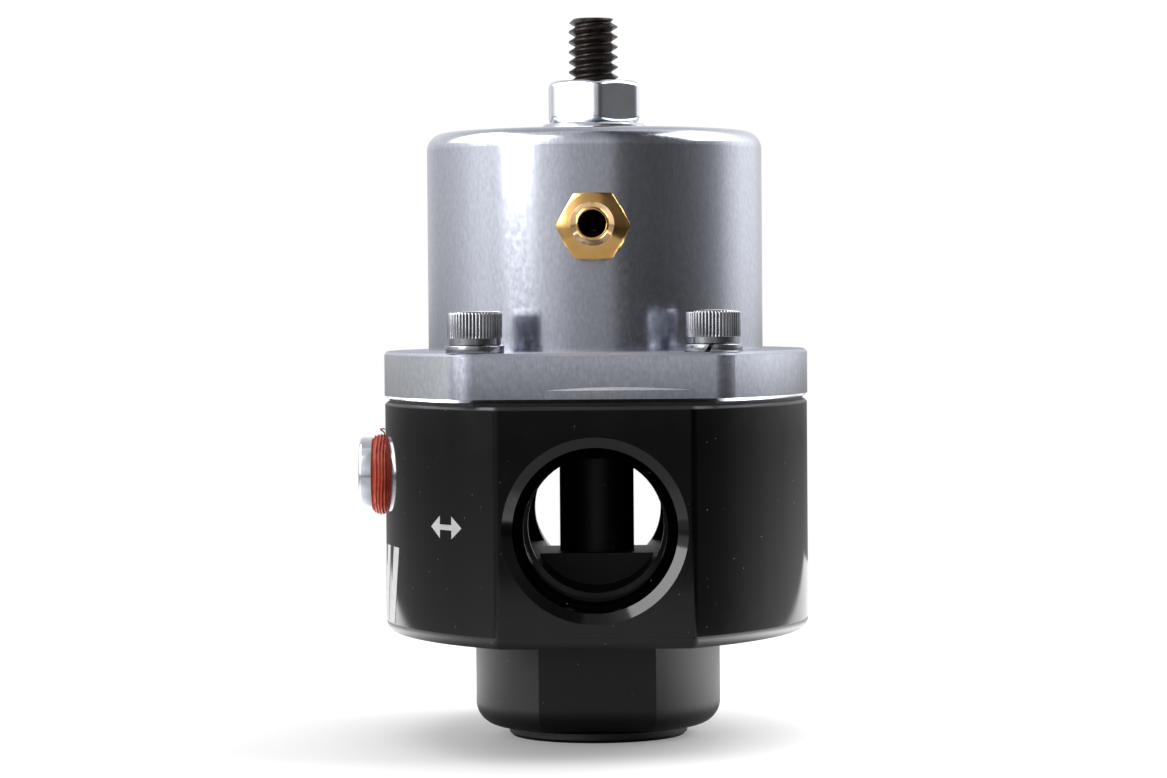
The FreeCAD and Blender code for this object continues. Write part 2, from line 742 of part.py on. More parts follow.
def make_adjuster():
    """Upper spring seat, thrust ball and the threaded stud that loads them."""
    top = SEAT_PLATE_TOP
    turned("upper_spring_seat", [
        ("0", "spring_seat_bottom - spring_pilot_depth"),
        ("spring_pilot_radius - spring_pilot_chamfer", "spring_seat_bottom - spring_pilot_depth"),
        ("spring_pilot_radius", "spring_seat_bottom - spring_pilot_depth + spring_pilot_chamfer"),
        ("spring_pilot_radius", "spring_seat_bottom"),
        ("spring_seat_radius", "spring_seat_bottom"),
        ("spring_seat_radius", f"{top} - spring_seat_chamfer"),
        ("spring_seat_radius - spring_seat_chamfer", top),
        ("thrust_ball_radius", top),
        ("thrust_dimple_radius", f"{top} - thrust_dimple_depth - seat_gap"),
        ("0", f"{top} - thrust_dimple_depth - seat_gap"),
    ])
    ball = doc.addObject("Part::Sphere", "thrust_ball")
    bind(ball, "Radius", "thrust_ball_radius")
    lift(ball, THRUST_CENTRE)
    keep(ball, "thrust_ball")

    blank = new_body("stud_blank")
    revolve(blank, "stud_turning", [
        ("0", f"{STUD_BOTTOM} + seat_gap * 2"),
        ("stud_radius - stud_chamfer", f"{STUD_BOTTOM} + seat_gap * 2"),
        ("stud_radius", f"{STUD_BOTTOM} + stud_chamfer"),
        ("stud_radius", "stud_top - stud_chamfer"),
        ("stud_radius - stud_chamfer", "stud_top"),
        ("0", "stud_top"),
    ])
    socket = hex_prism("stud_socket", "stud_socket_flats", "stud_socket_depth * 2")
    lift(socket, "stud_top - stud_socket_depth")
    keep(cut("adjusting_screw", blank, socket), "adjusting_screw")


def make_nut_and_washers():
    """Jam nut, the metal washer under it and the rubber ring in the washer."""
    hole = "stud_radius + stud_clearance"
    turned("sealing_washer", [
        ("seal_ring_radius", DOME_TOP),
        ("seal_washer_radius - seal_washer_edge", DOME_TOP),
        ("seal_washer_radius", f"{DOME_TOP} + seal_washer_edge"),
        ("seal_washer_radius", f"{NUT_BOTTOM} - seal_washer_edge"),
        ("seal_washer_radius - seal_washer_edge", NUT_BOTTOM),
        ("seal_ring_radius", NUT_BOTTOM),
    ])
    turned("washer_seal", [
        (hole, DOME_TOP),
        ("seal_ring_radius", DOME_TOP),
        ("seal_ring_radius", NUT_BOTTOM),
        (hole, NUT_BOTTOM),
    ])
    prism = hex_prism("nut_prism", "nut_flats", "nut_height")
    bevel = new_body("nut_bevel")
    revolve(bevel, "nut_turning", [
        (hole, "nut_mouth_depth"),
        ("stud_radius + nut_mouth_width", "0"),
        ("nut_face_radius", "0"),
        ("nut_bevel_reach", "nut_face_drop"),
        ("nut_bevel_reach", "nut_height - nut_face_drop"),
        ("nut_face_radius", "nut_height"),
        ("stud_radius + nut_mouth_width", "nut_height"),
        (hole, "nut_height - nut_mouth_depth"),
    ])
    nut = doc.addObject("Part::Common", "jam_nut")
    nut.Base = prism
    nut.Tool = bevel
    nut.Placement.Rotation = FreeCAD.Rotation(FreeCAD.Vector(0, 0, 1), 30)
    lift(nut, NUT_BOTTOM)
    doc.recompute()
    keep(nut, "jam_nut")


def make_bonnet_screws():
    """One socket-head screw and its split washer, mirrored to the four corners."""
    blank = new_body("screw_blank")
    head_bottom = f"({FLANGE_TOP} + washer_thickness)"
    revolve(blank, "screw_turning", [
        ("0", "-screw_length"),
        ("screw_radius - screw_point_chamfer", "-screw_length"),
        ("screw_radius", "-screw_length + screw_point_chamfer"),
        ("screw_radius", "0"),
        ("screw_head_radius", "0"),
        ("screw_head_radius", "screw_head_height - screw_head_round"),
        ("screw_head_radius - screw_head_round", "screw_head_height"),
        ("0", "screw_head_height"),
    ])
    socket = hex_prism("screw_socket", "screw_socket_flats", "screw_socket_depth * 2")
    lift(socket, "screw_head_height - screw_socket_depth")
    screw = cut("screw", blank, socket)
    outer = doc.addObject("Part::Cylinder", "washer_outer")
    bind(outer, "Radius", "washer_radius")
    bind(outer, "Height", "washer_thickness")
    inner = doc.addObject("Part::Cylinder", "washer_inner")
    bind(inner, "Radius", "washer_hole_radius")
    bind(inner, "Height", "washer_thickness")
    ring = cut("washer_ring", outer, inner)
    slit = doc.addObject("Part::Box", "washer_slit")
    bind(slit, "Length", "washer_split")
    bind(slit, "Width", "washer_radius * 2")
    bind(slit, "Height", "washer_thickness * 3")
    bind(slit, "Placement.Base.z", "-washer_thickness")
    slit.Placement.Rotation = FreeCAD.Rotation(FreeCAD.Vector(0, 1, 0), 25)
    washer = cut("washer", ring, slit)
    for thing, base in ((screw, head_bottom), (washer, FLANGE_TOP)):
        bind(thing, "Placement.Base.x", "screw_across")
        bind(thing, "Placement.Base.y", "screw_along")
        lift(thing, base)
    doc.recompute()
    keep(four_corners("bonnet_screws", screw), "bonnet_screws")
    keep(four_corners("lock_washers", washer), "lock_washers")


def four_corners(name, thing):
    """The thing and its mirror images across both upright planes, as separate solids."""
    across = mirrored(f"{name}_across", thing, FreeCAD.Vector(1, 0, 0))
    pair = doc.addObject("Part::Compound", f"{name}_pair")
    pair.Links = [thing, across]
    doc.recompute()
    along = mirrored(f"{name}_along", pair, FreeCAD.Vector(0, 1, 0))
    group = doc.addObject("Part::Compound", name)
    group.Links = [pair, along]
    doc.recompute()
    return group


def mirrored(name, source, normal):
    mirror = doc.addObject("Part::Mirroring", name)
    mirror.Source = source
    mirror.Normal = normal
    doc.recompute()
    return mirror


def make_vacuum_nipple():
    """Brass hose nipple: thread, collar, hexagon, neck and barb on one axis."""
    blank = new_body("nipple_blank")
    hex_back = "(nipple_seat + nipple_collar_thickness)"
    hex_front = f"({hex_back} + nipple_hex_length)"
    hex_edge = "(nipple_hex_corner_radius + nipple_hex_bevel)"
    barb = "(nipple_tip - nipple_barb_length)"
    bore = "nipple_bore_radius"
    revolve(blank, "nipple_turning", [
        (bore, "dome_radius - dome_wall"),
        ("nipple_thread_radius", "dome_radius - dome_wall"),
        ("nipple_thread_radius", "nipple_seat"),
        ("nipple_collar_radius", "nipple_seat"),
        ("nipple_collar_radius", hex_back),
        ("nipple_neck_radius", hex_back),
        ("nipple_neck_radius", barb),
        ("nipple_barb_radius", barb),
        ("nipple_barb_radius", f"{barb} + nipple_barb_land"),
        ("nipple_tip_radius", "nipple_tip"),
        (bore, "nipple_tip"),
    ])
    prism = hex_prism("nipple_prism", "nipple_hex_flats", "nipple_hex_length")
    lift(prism, hex_back)
    trim = new_body("nipple_hex_trim")
    revolve(trim, "nipple_hex_turning", [
        (bore, hex_back),
        (hex_edge, hex_back),
        (hex_edge, f"{hex_front} - nipple_hex_bevel_length"),
        ("nipple_hex_corner_radius - nipple_hex_bevel", hex_front),
        (bore, hex_front),
    ])
    hexagon = doc.addObject("Part::Common", "nipple_hexagon")
    hexagon.Base = prism
    hexagon.Tool = trim
    doc.recompute()
    nipple = doc.addObject("Part::Fuse", "vacuum_nipple")
    nipple.Base = blank
    nipple.Tool = hexagon
    nipple.Refine = True
    nipple.Placement.Rotation = FreeCAD.Rotation(FreeCAD.Vector(1, 0, 0), 90)
    lift(nipple, "nipple_height")
    doc.recompute()
    keep(nipple, "vacuum_nipple")


def make_gauge_plug():
    """Tapered socket plug in the gauge port, with a ring of thread sealant."""
    blank = new_body("gauge_plug_blank")
    revolve(blank, "gauge_plug_turning", [
        ("0", "0"),
        ("plug_end_radius - plug_taper", "0"),
        ("plug_end_radius - plug_taper * plug_bevel_length / plug_length",
         "plug_length - plug_bevel_length"),
        ("plug_end_radius - plug_bevel_rise", "plug_length"),
        ("0", "plug_length"),
    ])
    socket = hex_prism("gauge_plug_socket", "plug_socket_flats", "plug_socket_depth * 2")
    lift(socket, "plug_length - plug_socket_depth")
    plug = cut("gauge_port_plug", blank, socket)
    bead = new_body("thread_sealant")
    inner_end = "(plug_length - plug_stand_out - sealant_depth)"
    outer_end = "(plug_length - plug_stand_out + sealant_stand_out)"
    ring = "(plug_end_radius + seat_gap)"
    revolve(bead, "sealant_turning", [
        (ring, inner_end),
        (f"{ring} + sealant_inner_bulge", inner_end),
        (f"{ring} + sealant_bulge", f"({inner_end} + {outer_end}) / 2"),
        (f"{ring} + sealant_outer_bulge", outer_end),
        (ring, outer_end),
    ])
    for thing in (plug, bead):
        thing.Placement.Rotation = FreeCAD.Rotation(FreeCAD.Vector(0, 1, 0), -90)
        bind(thing, "Placement.Base.x", f"-({PLUG_END} - plug_length)")
        lift(thing, "gauge_height")
    doc.recompute()
    keep(plug, "gauge_port_plug")
    keep(bead, "thread_sealant")


def make_return_plug():
    """Low round plug head under the boss, with its socket and its seal."""
    blank = new_body("return_plug_blank")
    neck_top = "(boss_bottom + return_seal_depth)"
    revolve(blank, "return_plug_turning", [
        ("0", "0"),
        ("plug_head_radius - plug_head_round", "0"),
        ("plug_head_radius", "plug_head_round"),
        ("plug_head_radius", "boss_bottom - plug_head_round / 2"),
        ("plug_head_radius - plug_head_round / 2", "boss_bottom"),
        ("plug_neck_radius", "boss_bottom"),
        ("plug_neck_radius", neck_top),
        ("plug_shank_radius", f"{neck_top} + port_lead_in"),
        ("plug_shank_radius", "plug_shank_top - port_lead_in"),
        ("plug_neck_radius", "plug_shank_top"),
        ("0", "plug_shank_top"),
    ])
    socket = hex_prism("return_plug_socket", "plug_hex_flats", "plug_hex_depth * 2")
    lift(socket, "-plug_hex_depth")
    keep(cut("return_port_plug", blank, socket), "return_port_plug")
    ring = doc.addObject("Part::Torus", "plug_o_ring")
    bind(ring, "Radius1", "plug_neck_radius + o_ring_wire + seat_gap")
    bind(ring, "Radius2", "o_ring_wire")
    lift(ring, "boss_bottom + o_ring_wire + seat_gap")
    keep(ring, "plug_o_ring")


def check_and_write():
    """Stop on anything that failed, then write one file for each sub-part."""
    doc.recompute()
    for thing in doc.Objects:
        if "Invalid" in thing.State or "Error" in thing.State:
            raise ValueError(f"{thing.Name} failed: {thing.State}")
    for piece in PIECES:
        if piece.Shape.isNull() or not piece.Shape.isValid():
            raise ValueError(f"{piece.Label} has no valid shape")
    os.makedirs("parts", exist_ok=True)
    for piece in PIECES:
        piece.Shape.exportStep(f"parts/{piece.Label}.step")
        print(piece.Label, len(piece.Shape.Solids), round(piece.Shape.Volume, 1))


make_body()
make_bonnet()
make_diaphragm()
make_plates()
make_valve()
make_return_seat()
make_spring()
make_adjuster()
make_nut_and_washers()
make_bonnet_screws()
make_vacuum_nipple()
make_gauge_plug()
make_return_plug()
check_and_write()
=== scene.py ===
import json
import math
import random

import bmesh
import bpy
from mathutils import Matrix, Vector, noise


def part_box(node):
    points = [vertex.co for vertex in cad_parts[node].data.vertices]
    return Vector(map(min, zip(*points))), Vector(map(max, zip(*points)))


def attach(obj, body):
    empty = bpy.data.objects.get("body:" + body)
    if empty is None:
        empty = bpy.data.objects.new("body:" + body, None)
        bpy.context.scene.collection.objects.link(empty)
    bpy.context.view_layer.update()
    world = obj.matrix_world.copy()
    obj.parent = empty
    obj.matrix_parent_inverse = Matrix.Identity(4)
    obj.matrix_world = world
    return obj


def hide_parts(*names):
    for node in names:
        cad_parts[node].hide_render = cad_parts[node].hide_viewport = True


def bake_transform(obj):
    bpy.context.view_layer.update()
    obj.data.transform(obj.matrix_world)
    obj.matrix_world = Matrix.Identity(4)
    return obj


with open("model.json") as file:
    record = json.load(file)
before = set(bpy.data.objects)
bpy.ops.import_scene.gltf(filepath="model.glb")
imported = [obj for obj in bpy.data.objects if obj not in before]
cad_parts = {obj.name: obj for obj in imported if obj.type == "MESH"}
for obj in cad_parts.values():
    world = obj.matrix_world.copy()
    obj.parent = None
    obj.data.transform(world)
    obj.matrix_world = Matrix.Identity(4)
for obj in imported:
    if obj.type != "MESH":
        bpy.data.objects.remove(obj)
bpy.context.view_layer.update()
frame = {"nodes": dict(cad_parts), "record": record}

# The look of an adjustable bypass fuel pressure regulator.
# Lengths are metres; +Z runs up along the adjusting screw, and the front port faces -Y.

MM = 0.001
TURN = 2 * math.pi

# Where the photograph was taken from: the lens in millimetres, the place in metres, the turns in degrees
LENS = 109.39
CAMERA_PLACE = (3.33 * MM, -450 * MM, 55.05 * MM)
CAMERA_YAW = 0.625
CAMERA_PITCH = 1.438
CAMERA_ROLL = 0.45

# Meshes

# Vertices nearer to each other than this count as one
SAME_PLACE = 1e-7


def new_piece(name, mesh, body, material, nodes=()):
    """An object for a finished mesh, riding on its body and standing for its CAD nodes.

    A piece given no body is attached to none.
    """
    piece = bpy.data.objects.new(name, mesh)
    bpy.context.scene.collection.objects.link(piece)
    mesh.materials.append(material)
    if body:
        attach(piece, body)
    if nodes:
        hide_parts(*nodes)
    return piece


def mesh_from(name, bm, smooth_angle):
    """Mesh data from a bmesh, smooth where its faces meet at less than smooth_angle degrees."""
    bmesh.ops.recalc_face_normals(bm, faces=bm.faces)
    for face in bm.faces:
        face.smooth = True
    for edge in bm.edges:
        if len(edge.link_faces) == 2:
            edge.smooth = edge.calc_face_angle(0.0) < math.radians(smooth_angle)
    mesh = bpy.data.meshes.new(name)
    bm.to_mesh(mesh)
    bm.free()
    return mesh


def ring(bm, columns, z, radius):
    """A ring of vertices at height z; radius is a length or a function of the angle."""
    verts = []
    for column in range(columns):
        angle = TURN * column / columns
        reach = radius(angle) if callable(radius) else radius
        verts.append(bm.verts.new((reach * math.cos(angle), reach * math.sin(angle), z)))
    return verts


def skin(bm, rings, closed_ends=True):
    """Quads from ring to ring, with flat caps on the first and last ring."""
    columns = len(rings[0])
    for lower, upper in zip(rings, rings[1:]):
        for column in range(columns):
            after = (column + 1) % columns
            bm.faces.new((lower[column], lower[after], upper[after], upper[column]))
    if closed_ends:
        bm.faces.new(list(reversed(rings[0])))
        bm.faces.new(rings[-1])


def turned_skin(bm, columns, profile, first_ring=None):
    """A skin over rings at each (height, radius) of the profile; returns the last ring."""
    rings = [first_ring] if first_ring else []
    rings += [ring(bm, columns, z, radius) for z, radius in profile]
    skin(bm, rings, closed_ends=False)
    return rings[-1]


def closed_turned_skin(bm, columns, profile):
    """A skin whose last ring joins its first, as on a piece with a hole through it."""
    rings = [ring(bm, columns, z, radius) for z, radius in profile]
    skin(bm, rings + rings[:1], closed_ends=False)


def hexagon(flats, grown=0.0):
    """Radius of a hexagon of that size across flats, as a function of the angle."""
    def reach(angle):
        sector = angle % (TURN / 6) - TURN / 12
        return flats / 2 / math.cos(sector) + grown
    return reach


# A thread's section over one turn: pairs of part of the pitch and share of the depth
V_THREAD = ((0.0, 0.0), (0.06, 0.0), (0.24, 0.5), (0.42, 1.0),
            (0.5, 1.04), (0.58, 1.0), (0.76, 0.5), (0.94, 0.0))


def thread(bm, columns, low, high, pitch, depth, radius, end_radius, bevel):
    """A right-hand thread from low to high along Z, closed to plain rings at both ends.

    radius is a length or a function of the height. Towards each end the thread comes
    down to end_radius with the slope bevel.
    """
    steps = len(V_THREAD)
    rows = (math.ceil((high - low) / pitch) + 2) * steps
    grid = []
    for row in range(rows + 1):
        turn, step = divmod(row, steps)
        part, drop = V_THREAD[step]
        verts = []
        for column in range(columns):
            angle = TURN * column / columns
            z = low + (turn - 2 + part + column / columns) * pitch
            z = min(max(z, low), high)
            to_end = min(z - low, high - z)
            crest = radius(z) if callable(radius) else radius
            reach = min(crest - drop * depth, end_radius + to_end * bevel)
            if to_end <= 0:
                reach = end_radius
            verts.append(bm.verts.new((reach * math.cos(angle), reach * math.sin(angle), z)))
        grid.append(verts)
    for row in range(rows):
        above = row + 1
        for column in range(columns):
            after = (column + 1) % columns
            if after:
                corners = (grid[row][column], grid[row][after],
                           grid[above][after], grid[above][column])
            elif above + steps <= rows:
                corners = (grid[row][column], grid[row + steps][0],
                           grid[above + steps][0], grid[above][column])
            else:
                continue
            bm.faces.new(corners)
    bmesh.ops.remove_doubles(bm, verts=bm.verts, dist=SAME_PLACE)
    bmesh.ops.dissolve_degenerate(bm, edges=bm.edges, dist=SAME_PLACE / 10)


def open_ring(bm, z):
    """The vertices at height z in order round the Z axis."""
    return sorted((vert for vert in bm.verts if abs(vert.co.z - z) < SAME_PLACE),
                  key=lambda vert: math.atan2(vert.co.y, vert.co.x) % TURN)


def tube(bm, path, radius, columns):
    """A closed thin rod along a path of points."""
    angles = [TURN * column / columns for column in range(columns)]
    rings = []
    for number, point in enumerate(path):
        along = (path[min(number + 1, len(path) - 1)] - path[max(number - 1, 0)]).normalized()
        side = (side - along * side.dot(along) if rings else along.orthogonal()).normalized()
        across = along.cross(side)
        rings.append([bm.verts.new(point + radius * (side * math.cos(angle) + across * math.sin(angle)))
                      for angle in angles])
    skin(bm, rings)


# Shader nodes

def material(name, colour, metallic, roughness, specular=0.5):
    """A new material with its node tree and its shader."""
    made = bpy.data.materials.new(name)
    made.use_nodes = True
    tree = made.node_tree
    shader = tree.nodes["Principled BSDF"]
    shader.inputs["Base Color"].default_value = (*colour, 1)
    shader.inputs["Metallic"].default_value = metallic
    shader.inputs["Roughness"].default_value = roughness
    shader.inputs["Specular IOR Level"].default_value = specular
    return made, tree, shader


def node(tree, kind, **settings):
    made = tree.nodes.new(kind)
    for key, value in settings.items():
        setattr(made, key, value)
    return made


def feed(tree, socket, value):
    """Sets a socket to a number or colour, or links it to another node's output."""
    if isinstance(value, (float, tuple)):
        socket.default_value = value
    else:
        tree.links.new(value, socket)


def object_place(tree, stretch=(1, 1, 1)):
    """The object's own coordinates, stretched along each axis."""
    place = node(tree, "ShaderNodeTexCoord")
    mapping = node(tree, "ShaderNodeMapping")
    mapping.inputs["Scale"].default_value = stretch
    tree.links.new(place.outputs["Object"], mapping.inputs["Vector"])
    return mapping.outputs["Vector"]


def axis_values(tree, where):
    """The X, Y and Z values of a place."""
    axes = node(tree, "ShaderNodeSeparateXYZ")
    tree.links.new(where, axes.inputs["Vector"])
    return axes.outputs


def length_of(tree, where):
    distance = node(tree, "ShaderNodeVectorMath", operation="LENGTH")
    tree.links.new(where, distance.inputs[0])
    return distance.outputs["Value"]


def size_of(tree, value):
    """A value without its sign."""
    size = node(tree, "ShaderNodeMath", operation="ABSOLUTE")
    tree.links.new(value, size.inputs[0])
    return size.outputs["Value"]


def combine(tree, first, second, operation="MULTIPLY"):
    """Two values in one Math node, multiplied unless another operation is named."""
    made = node(tree, "ShaderNodeMath", operation=operation)
    for socket, value in zip(made.inputs, (first, second)):
        feed(tree, socket, value)
    return made.outputs["Value"]


def choose(tree, factor, first, second):
    """The second value where the factor is 1, the first where it is 0."""
    mix = node(tree, "ShaderNodeMix", data_type="FLOAT")
    for socket, value in (("Factor", factor), ("A", first), ("B", second)):
        feed(tree, mix.inputs[socket], value)
    return mix.outputs["Result"]


def mix_colours(tree, factor, first, second, blend="MIX"):
    mix = node(tree, "ShaderNodeMix", data_type="RGBA", blend_type=blend)
    for socket, value in (("Factor", factor), ("A", first), ("B", second)):
        feed(tree, mix.inputs[socket], value)
    return mix.outputs["Result"]


def rise(tree, value, start, end, low=0.0, high=1.0):
    """A value that runs from low at start to high at end."""
    made = node(tree, "ShaderNodeMapRange")
    for socket, number in (("From Min", start), ("From Max", end), ("To Min", low), ("To Max", high)):
        made.inputs[socket].default_value = number
    tree.links.new(value, made.inputs["Value"])
    return made.outputs["Result"]


def fall(tree, value, start, end):
    """1 up to start, 0 from end on."""
    return rise(tree, value, start, end, 1.0, 0.0)


def band(tree, value, start, end, edge):
    """1 between start and end, 0 beyond, with soft edges."""
    return combine(tree, rise(tree, value, start, start + edge), fall(tree, value, end - edge, end))


def ramp(tree, value, stops):
    """A colour ramp of (place, colour or grey) stops on a value."""
    made = node(tree, "ShaderNodeValToRGB")
    elements = made.color_ramp.elements
    while len(elements) < len(stops):
        elements.new(0.5)
    for element, (place, colour) in zip(elements, stops):
        element.position = place
        element.color = (*colour, 1) if isinstance(colour, tuple) else (colour,) * 3 + (1,)
    tree.links.new(value, made.inputs["Fac"])
    return made.outputs["Color"]


def noise_texture(tree, where, scale, detail=3.0):
    made = node(tree, "ShaderNodeTexNoise")
    made.inputs["Scale"].default_value = scale
    made.inputs["Detail"].default_value = detail
    tree.links.new(where, made.inputs["Vector"])
    return made.outputs["Fac"]


# The stretches of a noise's range over which a tone or a roughness goes from low to high
TONE_SPREAD = (0.3, 0.7)
GLOSS_SPREAD = (0.3, 0.75)


def patches(tree, where, scale, low, high, spread=TONE_SPREAD, detail=3.0):
    """A colour or grey that wanders from low to high in patches, about scale to the metre."""
    return ramp(tree, noise_texture(tree, where, scale, detail), list(zip(spread, (low, high))))


def bump(tree, shader, where, scale, strength, height, detail=3.0):
    """Fine uneven relief, about scale to the metre."""
    made = node(tree, "ShaderNodeBump")
    made.inputs["Strength"].default_value = strength
    made.inputs["Distance"].default_value = height
    tree.links.new(noise_texture(tree, where, scale, detail), made.inputs["Height"])
    tree.links.new(made.outputs["Normal"], shader.inputs["Normal"])


# Only the cells of a noise whose random red lies above this hold a speck
SPECK_CHOICE = ((0.80, 0.0), (0.84, 1.0))


def specks(tree, where, scale, share):
    """White where a speck of dust lies, black elsewhere."""
    cells = node(tree, "ShaderNodeTexVoronoi")
    cells.inputs["Scale"].default_value = scale
    tree.links.new(where, cells.inputs["Vector"])
    size = ramp(tree, cells.outputs["Distance"], [(0.0, 1.0), (share, 0.0)])
    pick = node(tree, "ShaderNodeSeparateColor")
    tree.links.new(cells.outputs["Color"], pick.inputs["Color"])
    chosen = ramp(tree, pick.outputs["Red"], SPECK_CHOICE)
    return mix_colours(tree, 1.0, size, chosen, "MULTIPLY")


# Materials

BLACK = (0.0008, 0.0008, 0.0008)
DUST = (0.16, 0.16, 0.165)
BODY_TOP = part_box("body")[1].z
# The body's underside, above the boss
BODY_BOTTOM = 13.65 * MM
# From the first distance from the axis to the second, the dull bore gives way to the gloss outside
BORE_EDGE = (19.2 * MM, 19.6 * MM)
BORE_ROUGHNESS = 0.5
# Heights of the dull rims at the body's top and bottom
TOP_RIM = (BODY_TOP - 0.45 * MM, BODY_TOP - 0.35 * MM)
BOTTOM_RIM = (BODY_BOTTOM - 0.2 * MM, BODY_BOTTOM + 1.5 * MM)
BOTTOM_RIM_EDGE = 0.2 * MM
RIM_ROUGHNESS = 0.4


def black_anodised():
    """Glossy black outside; machining leaves the ports, the chamber and the rims duller."""
    made, tree, shader = material("black_anodised", BLACK, 0.0, 0.12)
    where = object_place(tree)
    dust = specks(tree, where, scale=900, share=0.12)
    feed(tree, shader.inputs["Base Color"], mix_colours(tree, dust, (*BLACK, 1), (*DUST, 1)))
    height = axis_values(tree, where)["Z"]
    top_rim = rise(tree, height, *TOP_RIM)
    bottom_rim = band(tree, height, *BOTTOM_RIM, BOTTOM_RIM_EDGE)
    rims = combine(tree, top_rim, bottom_rim, "MAXIMUM")
    inside = fall(tree, length_of(tree, object_place(tree, (1, 1, 0))), *BORE_EDGE)
    gloss = patches(tree, where, scale=260, low=0.06, high=0.10, spread=GLOSS_SPREAD)
    gloss = choose(tree, inside, gloss, BORE_ROUGHNESS)
    feed(tree, shader.inputs["Roughness"], choose(tree, rims, gloss, RIM_ROUGHNESS))
    bump(tree, shader, where, scale=1500, strength=0.12, height=0.004 * MM, detail=2.0)
    return made


SILVER = (0.57, 0.60, 0.68)
SILVER_DARK = (0.52, 0.545, 0.63)
SILVER_LIGHT = (0.61, 0.635, 0.72)
GRAIN_STRETCH = (1, 1, 0.4)
FLANGE_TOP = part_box("lock_washers")[0].z
FLANGE_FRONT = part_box("bonnet")[1].y
# Heights of the flange's parts: where the dome begins, the flats, the top edge and the lip
DOME_FOOT = (FLANGE_TOP, FLANGE_TOP + 0.1 * MM)
FLATS = (FLANGE_TOP - 5.5 * MM, FLANGE_TOP - 1.0 * MM)
TOP_EDGE = (FLANGE_TOP - 0.40 * MM, FLANGE_TOP + 0.05 * MM)
LIP = (FLANGE_TOP - 4.47 * MM, FLANGE_TOP - 3.95 * MM)
# How far from the middle plane the lip stands proud, and how far the bowed sides reach
LIP_REACH = (FLANGE_FRONT - 0.37 * MM, FLANGE_FRONT - 0.34 * MM)
BOWED_REACH = (FLANGE_FRONT - 2.4 * MM, FLANGE_FRONT - 1.4 * MM)
LEFT_HALF = (-10 * MM, 0.0)
FLANGE_BAND_EDGE = 0.03 * MM
FLANGE_METALLIC = 0.95
FLANGE_EDGE_ROUGHNESS = 0.5
# Painted shade and light on the flange's colour: darker at the foot of its flats and lighter at their
# top, lighter on its bowed left side, darker on its top edge
FLATS_PAINTED_SHADING = (0.84, 1.42)
LEFT_PAINTED_LIGHT = 1.6
TOP_EDGE_PAINTED_SHADE = 0.62


def silver_anodised():
    """Satin silver: a turned dome over a milled, duller flange whose colour carries painted light and
    shade.
    """
    made, tree, shader = material("silver_anodised", SILVER, 1.0, 0.2)
    where = object_place(tree)
    x, y, z = axis_values(tree, where)
    outward = size_of(tree, y)

    lip = combine(tree, rise(tree, outward, *LIP_REACH), band(tree, z, *LIP, FLANGE_BAND_EDGE))
    top = band(tree, z, *TOP_EDGE, FLANGE_BAND_EDGE)
    edges = combine(tree, lip, top, "MAXIMUM")
    satin = patches(tree, where, scale=1600, low=0.15, high=0.22)
    feed(tree, shader.inputs["Roughness"], choose(tree, edges, satin, FLANGE_EDGE_ROUGHNESS))

    on_flange = fall(tree, z, *DOME_FOOT)
    feed(tree, shader.inputs["Metallic"], choose(tree, on_flange, 1.0, FLANGE_METALLIC))

    # Painted light and shade: the flange is lighter on its bowed left side, runs from darker at the foot
    # of its flats to lighter at their top, and is darker on its top edge
    left = combine(tree, fall(tree, outward, *BOWED_REACH), fall(tree, x, *LEFT_HALF))
    shade = choose(tree, left, rise(tree, z, *FLATS, *FLATS_PAINTED_SHADING), LEFT_PAINTED_LIGHT)
    shade = choose(tree, top, shade, TOP_EDGE_PAINTED_SHADE)
    grain = patches(tree, object_place(tree, GRAIN_STRETCH), scale=3400,
                    low=SILVER_DARK, high=SILVER_LIGHT, detail=2.0)
    # The grain's colour, times the painted light and shade on the flange
    tone = mix_colours(tree, 1.0, grain, choose(tree, on_flange, 1.0, shade), "MULTIPLY")
    feed(tree, shader.inputs["Base Color"], tone)
    return made


def mottled(name, colour, metallic, roughness, tone, gloss=None, relief=None,
            spread=TONE_SPREAD, relief_stretch=(1, 1, 1), specular=0.5):
    """A material whose tone, gloss and relief wander in patches.

    tone and gloss hold patches per metre, low and high; relief holds bumps per metre, their
    strength and their height. Without gloss, the roughness is the same all over.
    """
    made, tree, shader = material(name, colour, metallic, roughness, specular)
    where = object_place(tree)
    feed(tree, shader.inputs["Base Color"], patches(tree, where, *tone, spread))
    if gloss:
        feed(tree, shader.inputs["Roughness"], patches(tree, where, *gloss, GLOSS_SPREAD))
    if relief:
        bump(tree, shader, object_place(tree, relief_stretch), *relief)
    return made


def zinc_plated(name, darkest, lightest, smoothest, dulling=0.09):
    """Bright plating; screws come duller than the nut."""
    return mottled(name, lightest, 1.0, smoothest, tone=(420, darkest, lightest),
                   gloss=(900, smoothest, smoothest + dulling), relief=(1200, 0.06, 0.02 * MM))


